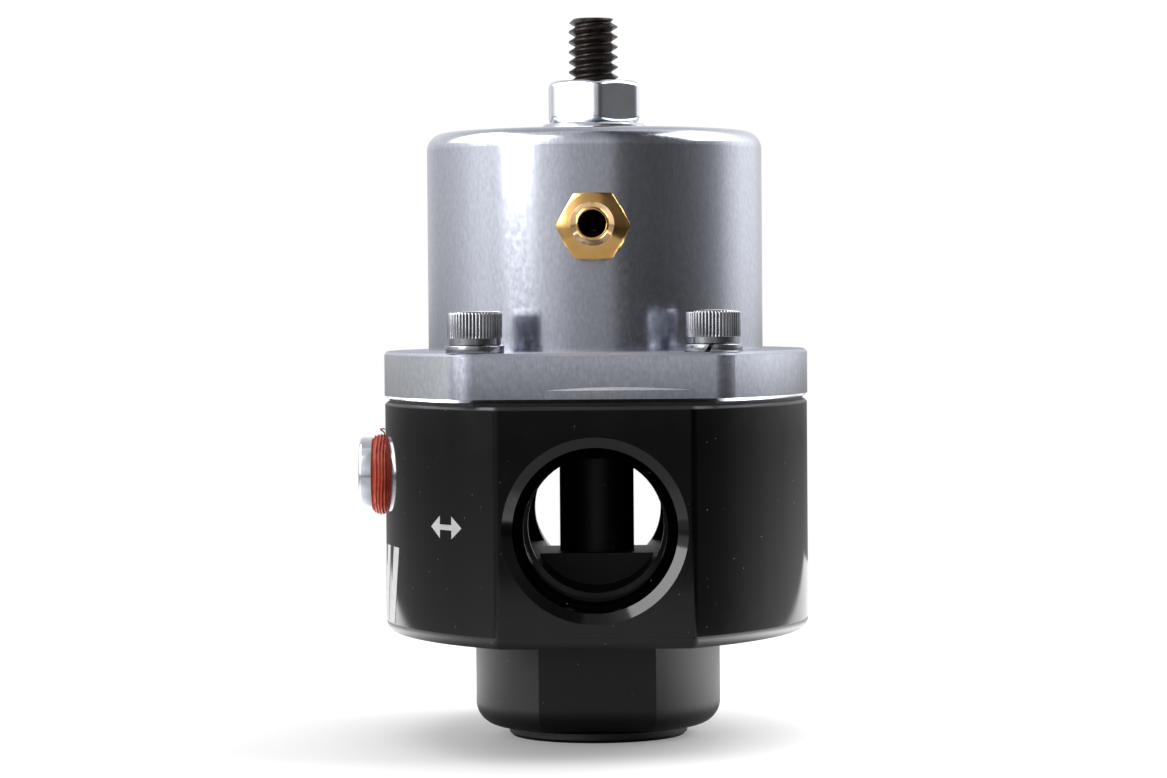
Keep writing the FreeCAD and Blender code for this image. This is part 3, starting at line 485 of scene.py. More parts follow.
MATERIALS = {
    "black_anodised": black_anodised(),
    "silver_anodised": silver_anodised(),
    "black_oxide": mottled(
        "black_oxide", (0.030, 0.024, 0.021), 0.6, 0.3,
        tone=(700, (0.022, 0.018, 0.016), (0.06, 0.045, 0.038)), spread=(0.35, 0.75),
        gloss=(1100, 0.24, 0.42), relief=(2400, 0.15, 0.02 * MM)),
    "zinc_plated": zinc_plated("zinc_plated", (0.68, 0.71, 0.78), (0.76, 0.79, 0.85), 0.12),
    "spring_steel": mottled(
        "spring_steel", (0.42, 0.43, 0.45), 1.0, 0.32,
        tone=(500, (0.36, 0.37, 0.39), (0.48, 0.49, 0.51)), relief=(1800, 0.12, 0.02 * MM)),
    "hard_steel": mottled(
        "hard_steel", (0.78, 0.78, 0.79), 1.0, 0.08,
        tone=(600, (0.75, 0.75, 0.76), (0.80, 0.80, 0.81)), gloss=(1500, 0.06, 0.13)),
    "brass": mottled(
        "brass", (0.78, 0.48, 0.17), 1.0, 0.2,
        tone=(350, (0.70, 0.39, 0.125), (0.80, 0.49, 0.18)), gloss=(800, 0.12, 0.22),
        relief=(3500, 0.08, 0.02 * MM), relief_stretch=(0.3, 1, 0.3)),
    "seal_rubber": mottled(
        "seal_rubber", (0.014, 0.014, 0.015), 0.0, 0.55,
        tone=(600, (0.010, 0.010, 0.011), (0.020, 0.020, 0.021)), relief=(2000, 0.3, 0.03 * MM)),
    "sealant": mottled(
        "sealant", (0.45, 0.050, 0.022), 0.0, 0.55,
        tone=(900, (0.36, 0.034, 0.016), (0.56, 0.075, 0.032)), relief=(1500, 0.15, 0.05 * MM),
        specular=0.3),
}
DULL_ZINC = zinc_plated("dull_zinc", (0.27, 0.28, 0.31), (0.38, 0.39, 0.42), 0.17)
WHITE_PRINT = mottled("white_print", (0.56, 0.56, 0.56), 0.0, 0.5,
                      tone=(900, 0.50, 0.62), relief=(2500, 0.2, 0.01 * MM))


def dress_cad_nodes():
    """Every CAD node gets the finish of its slot in the record."""
    for part in frame["record"]["subparts"]:
        mesh = frame["nodes"][part["node"]].data
        mesh.materials.clear()
        mesh.materials.append(MATERIALS[part["material_slot"]])


# Pieces

STUD_COLUMNS = 72
STUD_PITCH = 1.27 * MM
STUD_THREAD_DEPTH = 0.76 * MM
STUD_END_RADIUS = 2.5 * MM
STUD_END_SLOPE = 1.1
STUD_SOCKET_FLATS = 3.18 * MM
STUD_SOCKET_DEPTH = 3.5 * MM
STUD_SOCKET_LEAD = 0.15 * MM
STUD_TOP_DISH = 0.02 * MM


def threaded_stud():
    """The adjusting screw with its thread and the key socket in its top."""
    low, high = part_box("adjusting_screw")
    bm = bmesh.new()
    thread(bm, STUD_COLUMNS, low.z, high.z, STUD_PITCH, STUD_THREAD_DEPTH,
           (high.x - low.x) / 2, STUD_END_RADIUS, STUD_END_SLOPE)
    top = open_ring(bm, high.z)
    bm.faces.new(list(reversed(open_ring(bm, low.z))))
    socket = hexagon(STUD_SOCKET_FLATS)
    mouth = high.z - STUD_TOP_DISH
    floor = turned_skin(bm, STUD_COLUMNS, [
        (mouth, hexagon(STUD_SOCKET_FLATS, STUD_SOCKET_LEAD)),
        (mouth - STUD_SOCKET_LEAD, socket),
        (high.z - STUD_SOCKET_DEPTH, socket),
    ], first_ring=top)
    bm.faces.new(floor)
    new_piece("stud_thread", mesh_from("stud_thread", bm, 40), "screw",
              MATERIALS["black_oxide"], ["adjusting_screw"])


NUT_COLUMNS = 252
NUT_FLATS = 11.11 * MM
NUT_FACE_RADIUS = 5.35 * MM
NUT_BEVEL_SLOPE = 2.25
NUT_EDGE_ROUND = 0.85 * MM
NUT_TURNED = math.radians(5)
NUT_MOUTH_RADIUS = 3.5 * MM
NUT_MOUTH_DEPTH = 0.3 * MM
NUT_HOLE_RADIUS = 3.17 * MM
# How far in from each face the rings over its rounded edges lie, in millimetres
NUT_RING_DEPTHS = (0.0, 0.02, 0.05, 0.09, 0.13, 0.17, 0.21, 0.25, 0.29, 0.33, 0.37, 0.41,
                   0.45, 0.5, 0.55, 0.6, 0.7, 0.9)


def soft_least(first, second, blend):
    """The lesser of two lengths, rounded over where they are nearly equal."""
    share = max(blend - abs(first - second), 0.0) / blend
    return min(first, second) - share * share * blend / 4


def nut_outline(depth):
    """The nut's outer radius at that depth below the nearer face, as a function of the angle."""
    def reach(angle):
        sector = (angle - NUT_TURNED + TURN / 12) % (TURN / 6) - TURN / 12
        face = NUT_FLATS / 2 / math.cos(sector)
        next_face = NUT_FLATS / 2 / math.cos(TURN / 6 - abs(sector))
        hexagonal = soft_least(face, next_face, NUT_EDGE_ROUND)
        return soft_least(hexagonal, NUT_FACE_RADIUS + depth * NUT_BEVEL_SLOPE, NUT_EDGE_ROUND)
    return reach


def jam_nut():
    """The jam nut, its corners and bevels rounded over."""
    low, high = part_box("jam_nut")
    depths = [depth * MM for depth in NUT_RING_DEPTHS]
    profile = [(low.z + NUT_MOUTH_DEPTH, NUT_HOLE_RADIUS), (low.z, NUT_MOUTH_RADIUS)]
    profile += [(low.z + depth, nut_outline(depth)) for depth in depths]
    profile += [((low.z + high.z) / 2, nut_outline((high.z - low.z) / 2))]
    profile += [(high.z - depth, nut_outline(depth)) for depth in reversed(depths)]
    profile += [(high.z, NUT_MOUTH_RADIUS), (high.z - NUT_MOUTH_DEPTH, NUT_HOLE_RADIUS)]
    bm = bmesh.new()
    closed_turned_skin(bm, NUT_COLUMNS, profile)
    new_piece("nut", mesh_from("nut", bm, 50), "nut",
              MATERIALS["zinc_plated"], ["jam_nut"])


SCREW_TEETH = 46
SCREW_COLUMNS = SCREW_TEETH * 4
# The depth of the knurl at the four columns of each tooth
KNURL_SHAPE = (0.0, 0.25, 1.0, 0.25)
KNURL_DEPTH = 0.17 * MM
HEAD_RADIUS = 3.3 * MM
HEAD_HEIGHT = 4.1 * MM
HEAD_SOFTENED = HEAD_RADIUS - 0.03 * MM
BAND_RADIUS = 3.15 * MM
BAND_HEIGHT = 0.85 * MM
BAND_BEVEL = 0.12 * MM
SCREW_SOCKET_FLATS = 3.57 * MM
SCREW_SOCKET_DEPTH = 2.2 * MM
SCREW_SOCKET_LEAD = 0.14 * MM
SCREW_DRILL_RADIUS = 0.3 * MM
SCREW_DRILL_DEPTH = 0.35 * MM
SHANK_COLUMNS = 32
SHANK_OVERLAP = 0.2 * MM
SCREW_RADIUS = 2.05 * MM
SCREW_PITCH = 0.794 * MM
SCREW_THREAD_DEPTH = 0.45 * MM
SCREW_END_RADIUS = 1.5 * MM
# The four corners of the bonnet's flange, as signs of X and Y
CORNERS = ((-1, -1), (1, -1), (1, 1), (-1, 1))


def knurl(radius, depth):
    """Radius of a straight-knurled round: flat crests with a groove after each."""
    def reach(angle):
        column = round(angle / TURN * SCREW_COLUMNS)
        return radius - depth * KNURL_SHAPE[column % 4]
    return reach


def cap_screw_mesh(name, head_base, length):
    """A knurled socket-head cap screw about the Z axis, with its thread."""
    top = head_base + HEAD_HEIGHT
    knurl_base = head_base + BAND_HEIGHT
    socket = hexagon(SCREW_SOCKET_FLATS)
    # Heights and radii, from under the head up its side and down into the socket
    profile = [
        (head_base, BAND_RADIUS - BAND_BEVEL),
        (head_base + BAND_BEVEL, BAND_RADIUS),
        (knurl_base, BAND_RADIUS),
        (knurl_base + 0.03 * MM, knurl(HEAD_SOFTENED, 0.05 * MM)),
        (knurl_base + 0.35 * MM, knurl(HEAD_RADIUS, KNURL_DEPTH)),
        (top - 0.42 * MM, knurl(HEAD_RADIUS, KNURL_DEPTH)),
        (top - 0.32 * MM, knurl(HEAD_SOFTENED, KNURL_DEPTH * 0.7)),
        (top - 0.16 * MM, HEAD_RADIUS - 0.17 * MM),
        (top - 0.04 * MM, HEAD_RADIUS - 0.32 * MM),
        (top, HEAD_RADIUS - 0.55 * MM),
        (top, hexagon(SCREW_SOCKET_FLATS, SCREW_SOCKET_LEAD)),
        (top - 0.13 * MM, socket),
        (top - SCREW_SOCKET_DEPTH, socket),
        (top - SCREW_SOCKET_DEPTH - SCREW_DRILL_DEPTH, SCREW_DRILL_RADIUS),
    ]
    bm = bmesh.new()
    skin(bm, [ring(bm, SCREW_COLUMNS, z, radius) for z, radius in profile])
    shank = bmesh.new()
    thread(shank, SHANK_COLUMNS, head_base - length, head_base + SHANK_OVERLAP, SCREW_PITCH,
           SCREW_THREAD_DEPTH, SCREW_RADIUS, SCREW_END_RADIUS, 1.0)
    holding = bpy.data.meshes.new(name)
    shank.to_mesh(holding)
    shank.free()
    bm.from_mesh(holding)
    bpy.data.meshes.remove(holding)
    return mesh_from(name, bm, 40)


def cap_screws():
    """Four knurled cap screws through the bonnet's flange, each turned its own way."""
    low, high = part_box("bonnet_screws")
    across = (high.x - low.x) / 2 - HEAD_RADIUS
    along = (high.y - low.y) / 2 - HEAD_RADIUS
    head_base = high.z - HEAD_HEIGHT
    random.seed(8)
    for number, (x, y) in enumerate(CORNERS, start=1):
        name = f"bonnet_screw_{number}"
        mesh = cap_screw_mesh(name, head_base, head_base - low.z)
        turn = Matrix.Rotation(random.uniform(0, TURN), 4, "Z")
        mesh.transform(Matrix.Translation((x * across, y * along, 0)) @ turn)
        new_piece(name, mesh, "housing", DULL_ZINC, ["bonnet_screws"])


WASHER_COLUMNS = 96
WASHER_RADIUS = 3.53 * MM
WASHER_HOLE = 2.15 * MM
WASHER_GAP = 0.45 * MM
WASHER_SLANT = 0.5 * MM
WASHER_EDGE = 0.13 * MM
WASHER_EDGE_STEPS = 3
# Where each washer is cut, in degrees, in the order of the corners
WASHER_CUTS = (75, -99.4, 20, 160)


def split_washer_mesh(name, low, high, split_at):
    """A spring lock washer: a ring of rounded section with a slanted cut."""
    middle = (WASHER_RADIUS + WASHER_HOLE) / 2
    half_wide = (WASHER_RADIUS - WASHER_HOLE) / 2
    half_high = (high - low) / 2
    section = []
    for start, (side_x, side_z) in enumerate(((1, 1), (-1, 1), (-1, -1), (1, -1))):
        for step in range(WASHER_EDGE_STEPS + 1):
            angle = (start + step / WASHER_EDGE_STEPS) * TURN / 4
            section.append((side_x * (half_wide - WASHER_EDGE) + WASHER_EDGE * math.cos(angle),
                            side_z * (half_high - WASHER_EDGE) + WASHER_EDGE * math.sin(angle)))
    bm = bmesh.new()
    gap = WASHER_GAP / middle
    loops = []
    for column in range(WASHER_COLUMNS + 1):
        share = column / WASHER_COLUMNS
        loop = []
        for across, up in section:
            slant = up / half_high * WASHER_SLANT / 2 / middle
            angle = split_at + gap / 2 + slant + share * (TURN - gap)
            reach = middle + across
            loop.append(bm.verts.new((reach * math.cos(angle), reach * math.sin(angle),
                                      (low + high) / 2 + up)))
        loops.append(loop)
    skin(bm, loops)
    return mesh_from(name, bm, 40)


def lock_washers():
    """Four lock washers under the cap screws; their cuts point different ways."""
    low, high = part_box("lock_washers")
    across = (high.x - low.x) / 2 - WASHER_RADIUS
    along = (high.y - low.y) / 2 - WASHER_RADIUS
    for number, ((x, y), cut) in enumerate(zip(CORNERS, WASHER_CUTS), start=1):
        name = f"lock_washer_{number}"
        mesh = split_washer_mesh(name, low.z, high.z, math.radians(cut))
        mesh.transform(Matrix.Translation((x * across, y * along, 0)))
        new_piece(name, mesh, "housing", DULL_ZINC, ["lock_washers"])


PLUG_COLUMNS = 96
PLUG_END = 1.9 * MM
PLUG_END_INSET = 0.08 * MM
PLUG_EDGE = 0.35 * MM
PLUG_THREAD_DEPTH = 0.8 * MM
PLUG_PITCH = 1.41 * MM
PLUG_TAPER = 1 / 16
PLUG_SOCKET_FLATS = 4.76 * MM
PLUG_SOCKET_DEPTH = 5.0 * MM
PLUG_SOCKET_LEAD = 0.2 * MM


def gauge_plug():
    """The taper-threaded socket plug in the gauge port; its axis lies along X."""
    low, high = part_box("gauge_port_plug")
    radius = (high.z - low.z) / 2
    length = high.x - low.x
    thread_end = length - PLUG_END
    end_radius = radius - PLUG_END_INSET
    bm = bmesh.new()
    thread(bm, PLUG_COLUMNS, 0.0, thread_end, PLUG_PITCH, PLUG_THREAD_DEPTH,
           lambda z: radius - (length - z) * PLUG_TAPER / 2, radius - PLUG_THREAD_DEPTH, 1.0)
    bm.faces.new(list(reversed(open_ring(bm, 0.0))))
    socket = hexagon(PLUG_SOCKET_FLATS)
    floor = turned_skin(bm, PLUG_COLUMNS, [
        (thread_end + 0.10 * MM, radius - 0.30 * MM),
        (thread_end + 0.35 * MM, end_radius),
        (length - PLUG_EDGE, end_radius),
        (length - PLUG_EDGE * 0.45, radius - 0.14 * MM),
        (length - PLUG_EDGE * 0.12, radius - 0.27 * MM),
        (length, end_radius - PLUG_EDGE),
        (length, hexagon(PLUG_SOCKET_FLATS, PLUG_SOCKET_LEAD)),
        (length - PLUG_SOCKET_LEAD, socket),
        (length - PLUG_SOCKET_DEPTH, socket),
    ], first_ring=open_ring(bm, thread_end))
    bm.faces.new(floor)
    mesh = mesh_from("gauge_plug_thread", bm, 40)
    centre = (low + high) / 2
    mesh.transform(Matrix.Translation((high.x, centre.y, centre.z))
                   @ Matrix.Rotation(-TURN / 4, 4, "Y"))
    new_piece("gauge_plug_thread", mesh, "housing",
              MATERIALS["zinc_plated"], ["gauge_port_plug"])


NIPPLE_COLUMNS = 144
NIPPLE_FLATS = 7.94 * MM
NIPPLE_CORNER = 4.45 * MM
NIPPLE_COLLAR = 4.1 * MM
NIPPLE_COLLAR_BEVEL = 0.1 * MM
NIPPLE_GROOVE = 0.15 * MM
NIPPLE_THREAD = 2.4 * MM
NIPPLE_NECK = 1.95 * MM
NIPPLE_BARB = 2.58 * MM
NIPPLE_BARB_LENGTH = 2.2 * MM
NIPPLE_BORE = 1.58 * MM
NIPPLE_ORIFICE = 0.5 * MM
NIPPLE_SEAT = 20.55 * MM
NIPPLE_HEX_BACK = 22.25 * MM
NIPPLE_HEX_FRONT = 27.05 * MM
NIPPLE_CONE_RADIUS = 2.75 * MM
NIPPLE_CONE_SLOPE = 4.8
NIPPLE_BEVEL_RADIUS = 3.8 * MM
NIPPLE_BEVEL_SLOPE = 1.7
NIPPLE_REAR_BEVEL = 0.35 * MM
NIPPLE_REAR_SLOPE = 2.0
NIPPLE_REAR_STEP = 0.035 * MM
NIPPLE_REAR_STEPS = 7
NIPPLE_FRONT_STEPS = 12
# Fillet between the cone and the neck: ahead of the cone, and out from the neck
NIPPLE_FILLET = ((0.12, 0.5), (0.28, 0.27), (0.5, 0.1), (0.8, 0.0))
# The barb's rounded lip: back from the tip, and out from the bore
NIPPLE_LIP = ((0.50, 0.52), (0.30, 0.46), (0.12, 0.36), (0.03, 0.24), (0.0, 0.14),
              (0.03, 0.06), (0.12, 0.0))


def hose_nipple():
    """The brass nipple: collar, hexagon with a turned cone in front, neck and barb."""
    low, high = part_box("vacuum_nipple")
    tip, back = -low.y, -high.y
    barb = tip - NIPPLE_BARB_LENGTH
    hexagonal = hexagon(NIPPLE_FLATS)
    bevel = NIPPLE_HEX_FRONT - (NIPPLE_BEVEL_RADIUS - NIPPLE_CONE_RADIUS) / NIPPLE_CONE_SLOPE
    bend = bevel - (NIPPLE_FLATS / 2 - NIPPLE_BEVEL_RADIUS) / NIPPLE_BEVEL_SLOPE
    corner = bevel - (NIPPLE_CORNER - NIPPLE_BEVEL_RADIUS) / NIPPLE_BEVEL_SLOPE

    def hexagon_ring(z):
        """The hexagon's ring at z, cut by the bevels at its two ends."""
        front = NIPPLE_BEVEL_RADIUS + (bevel - z) * NIPPLE_BEVEL_SLOPE
        rear = NIPPLE_CORNER - NIPPLE_REAR_BEVEL + (z - NIPPLE_HEX_BACK) * NIPPLE_REAR_SLOPE
        limit = min(front, rear, NIPPLE_CORNER)
        return z, lambda angle: min(hexagonal(angle), limit)

    # Places along the nipple and radii, from its inner end to the tip and back through the bore
    profile = [
        (back, NIPPLE_THREAD),
        (NIPPLE_SEAT, NIPPLE_THREAD),
        (NIPPLE_SEAT, NIPPLE_COLLAR - NIPPLE_COLLAR_BEVEL),
        (NIPPLE_SEAT + NIPPLE_COLLAR_BEVEL, NIPPLE_COLLAR),
        (NIPPLE_HEX_BACK - NIPPLE_GROOVE, NIPPLE_COLLAR),
        (NIPPLE_HEX_BACK, NIPPLE_COLLAR - NIPPLE_GROOVE),
        (NIPPLE_HEX_BACK, NIPPLE_FLATS / 2 - 0.1 * MM),
    ]
    profile += [hexagon_ring(NIPPLE_HEX_BACK + step * NIPPLE_REAR_STEP)
                for step in range(1, NIPPLE_REAR_STEPS + 1)]
    profile += [hexagon_ring(corner + (bend - corner) * step / NIPPLE_FRONT_STEPS)
                for step in range(NIPPLE_FRONT_STEPS + 1)]
    profile += [(bevel, NIPPLE_BEVEL_RADIUS), (NIPPLE_HEX_FRONT, NIPPLE_CONE_RADIUS)]
    profile += [(NIPPLE_HEX_FRONT + ahead * MM, NIPPLE_NECK + out * MM) for ahead, out in NIPPLE_FILLET]
    profile += [
        (barb, NIPPLE_NECK),
        (barb, NIPPLE_BARB - 0.06 * MM),
        (barb + 0.08 * MM, NIPPLE_BARB),
        (barb + 0.44 * MM, NIPPLE_BARB),
        (barb + 0.60 * MM, NIPPLE_BARB - 0.04 * MM),
    ]
    profile += [(tip - behind * MM, NIPPLE_BORE + out * MM) for behind, out in NIPPLE_LIP]
    profile += [
        (back + 1.0 * MM, NIPPLE_BORE),
        (back + 0.5 * MM, NIPPLE_ORIFICE),
        (back, NIPPLE_ORIFICE),
    ]
    bm = bmesh.new()
    closed_turned_skin(bm, NIPPLE_COLUMNS, profile)
    mesh = mesh_from("hose_nipple", bm, 32)
    centre = (low + high) / 2
    mesh.transform(Matrix.Translation((centre.x, 0, centre.z)) @ Matrix.Rotation(TURN / 4, 4, "X"))
    new_piece("hose_nipple", mesh, "housing", MATERIALS["brass"], ["vacuum_nipple"])


SEALANT_COLUMNS = 160
SEALANT_ROWS = 42
SEALANT_RIDGES = 5
SEALANT_RIDGE = 0.13 * MM
# How deep, in millimetres, the bead is rounded off at its two sides, and how squarely
SEALANT_ROUNDING = 0.30
SEALANT_SQUARENESS = 0.4
# The bead's radius and width in the space of the noise that makes it uneven
NOISE_RADIUS = 3
NOISE_WIDTH = 2.2
# How far the ridges wander, in ridges, and over how fine a noise
SEALANT_LEAN = 0.45
SEALANT_LEAN_SCALE = 0.45
# How deep the surface lies and how high its lumps are, in millimetres, and over how fine a noise
SEALANT_DEPTH = 0.06
SEALANT_LUMP = 0.10
SEALANT_LUMP_SCALE = 1.6
# The bead is narrower than its box by this share on each side, and hollow by these lengths
SEALANT_MARGIN = 0.02
SEALANT_INSIDE = 0.75 * MM
SEALANT_INSET = 0.1 * MM
CURL_RADIUS = 0.09 * MM
CURL_HEIGHT = 0.97 * MM
CURL_WIDTH = 0.24 * MM
CURL_SWAY = 0.22 * MM
CURL_WAVES = 1.3
CURL_ARCH = 0.62
CURL_STEPS = 24
CURL_COLUMNS = 10


def sealant_curl(root):
    """The path of a loose curl of sealant that stands up from its root."""
    path = []
    for step in range(CURL_STEPS + 1):
        share = step / CURL_STEPS
        path.append(root + Vector((CURL_WIDTH * math.sin(CURL_WAVES * TURN * share),
                                   CURL_SWAY * math.sin(TURN * share),
                                   CURL_HEIGHT * math.sin(math.pi * CURL_ARCH * share))))
    return path


def sealant_bead():
    """Ridged ring of dried sealant around the gauge plug, with a loose curl on top."""
    low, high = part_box("thread_sealant")
    centre = (low + high) / 2
    reach = (high.z - low.z) / 2
    wide = high.x - low.x
    bm = bmesh.new()

    def loop_at(x, radius_at):
        """A loop round the plug's axis at x; radius_at gives its radius at an angle."""
        loop = []
        for column in range(SEALANT_COLUMNS):
            angle = TURN * column / SEALANT_COLUMNS
            radius = radius_at(angle)
            loop.append(bm.verts.new((x, centre.y + radius * math.sin(angle),
                                      centre.z + radius * math.cos(angle))))
        return loop

    def bead_radius(share):
        """The bead's radius at that share of its width, as a function of the angle."""
        rounding = SEALANT_ROUNDING * (1 - math.sin(math.pi * share) ** SEALANT_SQUARENESS)

        def radius_at(angle):
            place = Vector((math.cos(angle) * NOISE_RADIUS, math.sin(angle) * NOISE_RADIUS,
                            share * NOISE_WIDTH))
            lean = SEALANT_LEAN * noise.noise(place * SEALANT_LEAN_SCALE)
            ridge = abs(math.sin(math.pi * (SEALANT_RIDGES * share + lean)))
            rough = SEALANT_DEPTH + SEALANT_LUMP * noise.noise(place * SEALANT_LUMP_SCALE)
            depth = SEALANT_RIDGE * ridge + (rounding + rough) * MM
            return reach - max(depth, 0.0)
        return radius_at

    shares = [row / SEALANT_ROWS for row in range(SEALANT_ROWS + 1)]
    loops = [loop_at(low.x + wide * (SEALANT_MARGIN + (1 - 2 * SEALANT_MARGIN) * share),
                     bead_radius(share)) for share in shares]
    loops += [loop_at(x, lambda angle: reach - SEALANT_INSIDE)
              for x in (high.x - SEALANT_INSET, low.x + SEALANT_INSET)]
    skin(bm, loops + loops[:1], closed_ends=False)
    root = Vector((low.x + wide * 0.52, centre.y - 0.3 * MM, high.z - 0.35 * MM))
    tube(bm, sealant_curl(root), CURL_RADIUS, CURL_COLUMNS)
    new_piece("sealant_bead", mesh_from("sealant_bead", bm, 60), "housing",
              MATERIALS["sealant"], ["thread_sealant"])


def flexing_spring():
    """The main spring in its CAD shape, as a piece with no body of its own."""
    mesh = frame["nodes"]["main_spring"].data.copy()
    mesh.materials.clear()
    piece = new_piece("coil_spring", mesh, None, MATERIALS["spring_steel"],
                      ["main_spring"])
    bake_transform(piece)


BODY_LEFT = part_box("body")[0].x
SIDE_RADIUS = 40.9 * MM
MARK_LIFT = 0.03 * MM
MARK_ROOT = 0.05 * MM


def on_left_side(along, up, lift):
    """A point over the body's bowed left side: along is the way round from -X towards -Y."""
    centre_x = BODY_LEFT + SIDE_RADIUS
    angle = math.pi + along / SIDE_RADIUS
    reach = SIDE_RADIUS + lift
    return (centre_x + reach * math.cos(angle), reach * math.sin(angle), up)


def printed_mark(name, grid):
    """A thin white mark from a grid of (along, up) points on the body's left side."""
    bm = bmesh.new()
    layers = [[[bm.verts.new(on_left_side(along, up, lift)) for along, up in row] for row in grid]
              for lift in (MARK_LIFT, -MARK_ROOT)]
    outer, inner = layers
    rows, columns = len(grid), len(grid[0])
    for row in range(rows - 1):
        for column in range(columns - 1):
            for layer in layers:
                bm.faces.new((layer[row][column], layer[row][column + 1],
                              layer[row + 1][column + 1], layer[row + 1][column]))
    rim = ([(0, column) for column in range(columns)]
           + [(row, columns - 1) for row in range(1, rows)]
           + [(rows - 1, column) for column in range(columns - 2, -1, -1)]
           + [(row, 0) for row in range(rows - 2, 0, -1)])
    for (row, column), (next_row, next_column) in zip(rim, rim[1:] + rim[:1]):
        bm.faces.new((outer[row][column], outer[next_row][next_column],
                      inner[next_row][next_column], inner[row][column]))
    new_piece(name, mesh_from(name, bm, 30), "housing", WHITE_PRINT)


ARROW_ALONG = 27.2 * MM
ARROW_UP = 27.9 * MM
ARROW_LENGTH = 6.2 * MM
ARROW_HEAD = 1.9 * MM
ARROW_HEAD_HALF = 1.35 * MM
ARROW_TIP_HALF = 0.02 * MM
ARROW_SHAFT_HALF = 0.32 * MM
ARROW_SHAFT_STEPS = 8
ARROW_STEP_IN = 0.01 * MM


def flow_arrow():
    """A plain two-headed arrow beside the port: fuel may enter from either side."""
    half = ARROW_LENGTH / 2
    shaft = half - ARROW_HEAD
    reaches = [-half, -half + ARROW_HEAD, -half + ARROW_HEAD + ARROW_STEP_IN]
    reaches += [-shaft + 2 * shaft * step / ARROW_SHAFT_STEPS for step in range(1, ARROW_SHAFT_STEPS)]
    reaches += [shaft - ARROW_STEP_IN, shaft, half]
    grid = []
    for reach in reaches:
        to_tip = half - abs(reach)
        if to_tip <= ARROW_HEAD:
            half_high = max(ARROW_HEAD_HALF * to_tip / ARROW_HEAD, ARROW_TIP_HALF)
        else:
            half_high = ARROW_SHAFT_HALF
        grid.append([(ARROW_ALONG + reach, ARROW_UP - half_high),
                     (ARROW_ALONG + reach, ARROW_UP + half_high)])
    printed_mark("flow_arrow", grid)


BAR_WIDTH = 2.6 * MM
BAR_HEIGHT = 9.5 * MM
BAR_SLANT = 2.4 * MM
BAR_SPACING = 4.6 * MM
BAR_ALONG = 4.5 * MM
BAR_FOOT = 15.2 * MM
BAR_COLUMNS = 4
BAR_ROWS = 6


def side_bars():
    """Three plain slanted bars printed on the left face, under the gauge port."""
    for number, place in enumerate((-1, 0, 1), start=1):
        base = place * BAR_SPACING + BAR_ALONG
        grid = [[(base + BAR_WIDTH * across / BAR_COLUMNS + BAR_SLANT * up / BAR_ROWS,
                  BAR_FOOT + BAR_HEIGHT * up / BAR_ROWS) for up in range(BAR_ROWS + 1)]
                for across in range(BAR_COLUMNS + 1)]
        printed_mark(f"side_bar_{number}", grid)


# Studio

FLOOR_HALF = 1.2
FLOOR_LEVEL = -0.02 * MM
FLOOR_GLOW = 0.21
FLOOR_SHADE = 0.80
FLOOR_REFLECTED_SHADE = 0.35
# The part of the floor that the object reflects
FLOOR_HALF_WIDTH = 0.138
FLOOR_HALF_DEPTH = 0.29
FLOOR_EDGE = 0.008
# By distance from the axis: how the floor fades for the camera, and the painted shadow that dims the
# floor as the object reflects it, deepest close round the object
FLOOR_FADE = ((0.10, 1.0), (0.26, 0.0))
FLOOR_PAINTED_SHADOW = ((0.028, 0.02), (0.056, 1.0), (0.080, 1.0), (0.105, 0.45))
# Painted light: the glow of the floor by bearing in degrees, as the object reflects it.
# A bearing of 0 is the camera's side, -Y, and 90 is +X.
FLOOR_PAINTED_LIGHT = (
    (-180, 0.8), (-150, 2.8), (-120, 4.4), (-100, 3.3), (-84, 2.3), (-70, 1.1), (-57, 0.7),
    (-35, 0.05), (35, 0.05), (50, 2.4), (61, 5.4), (90, 7.6), (110, 6.6), (130, 3.4), (180, 0.8),
)
# Brightness of the surroundings by bearing in degrees, as the object reflects them
SURROUNDINGS = (
    (-180, 0.70), (-160, 0.68), (-134, 0.62), (-116, 0.70), (-102, 0.85), (-90, 1.1), (-78, 1.2),
    (-68, 1.0), (-58, 0.85), (-49, 0.8), (-40, 0.95), (-32, 0.9), (-23, 0.70), (-15, 0.52), (-7, 0.46),
    (1, 0.42), (9, 0.40), (13, 0.34), (16, 0.14), (26, 0.10), (43, 0.08), (62, 0.11), (72, 0.15),
    (82, 0.22), (94, 0.40), (106, 0.87), (121, 1.2), (141, 1.07), (157, 0.75), (180, 0.70),
)
# What that brightness is multiplied by at a height: 0 is straight down, 0.5 the horizon, 1 straight up
LIGHT_BY_HEIGHT = (
    (0.0, 0.5), (0.45, 0.50), (0.46, 0.40), (0.482, 0.22), (0.494, 0.55), (0.5, 1.0), (0.55, 1.12),
    (0.65, 1.35), (0.8, 1.1), (1.0, 0.7),
)
# The ramps hold the light of the tables by bearing divided by this
LIGHT_SCALE = 10.0
WHITE = (1.0, 1.0, 1.0, 1)


def light_around(tree, axes, table):
    """Brightness read from a table by the bearing about the Z axis."""
    bearing = combine(tree, axes["X"], combine(tree, axes["Y"], -1.0), "ARCTAN2")
    share = rise(tree, bearing, -math.pi, math.pi)
    stops = [((angle + 180) / 360, light / LIGHT_SCALE) for angle, light in table]
    return combine(tree, ramp(tree, share, stops), LIGHT_SCALE)


def seen_by_camera(tree):
    return node(tree, "ShaderNodeLightPath").outputs["Is Camera Ray"]


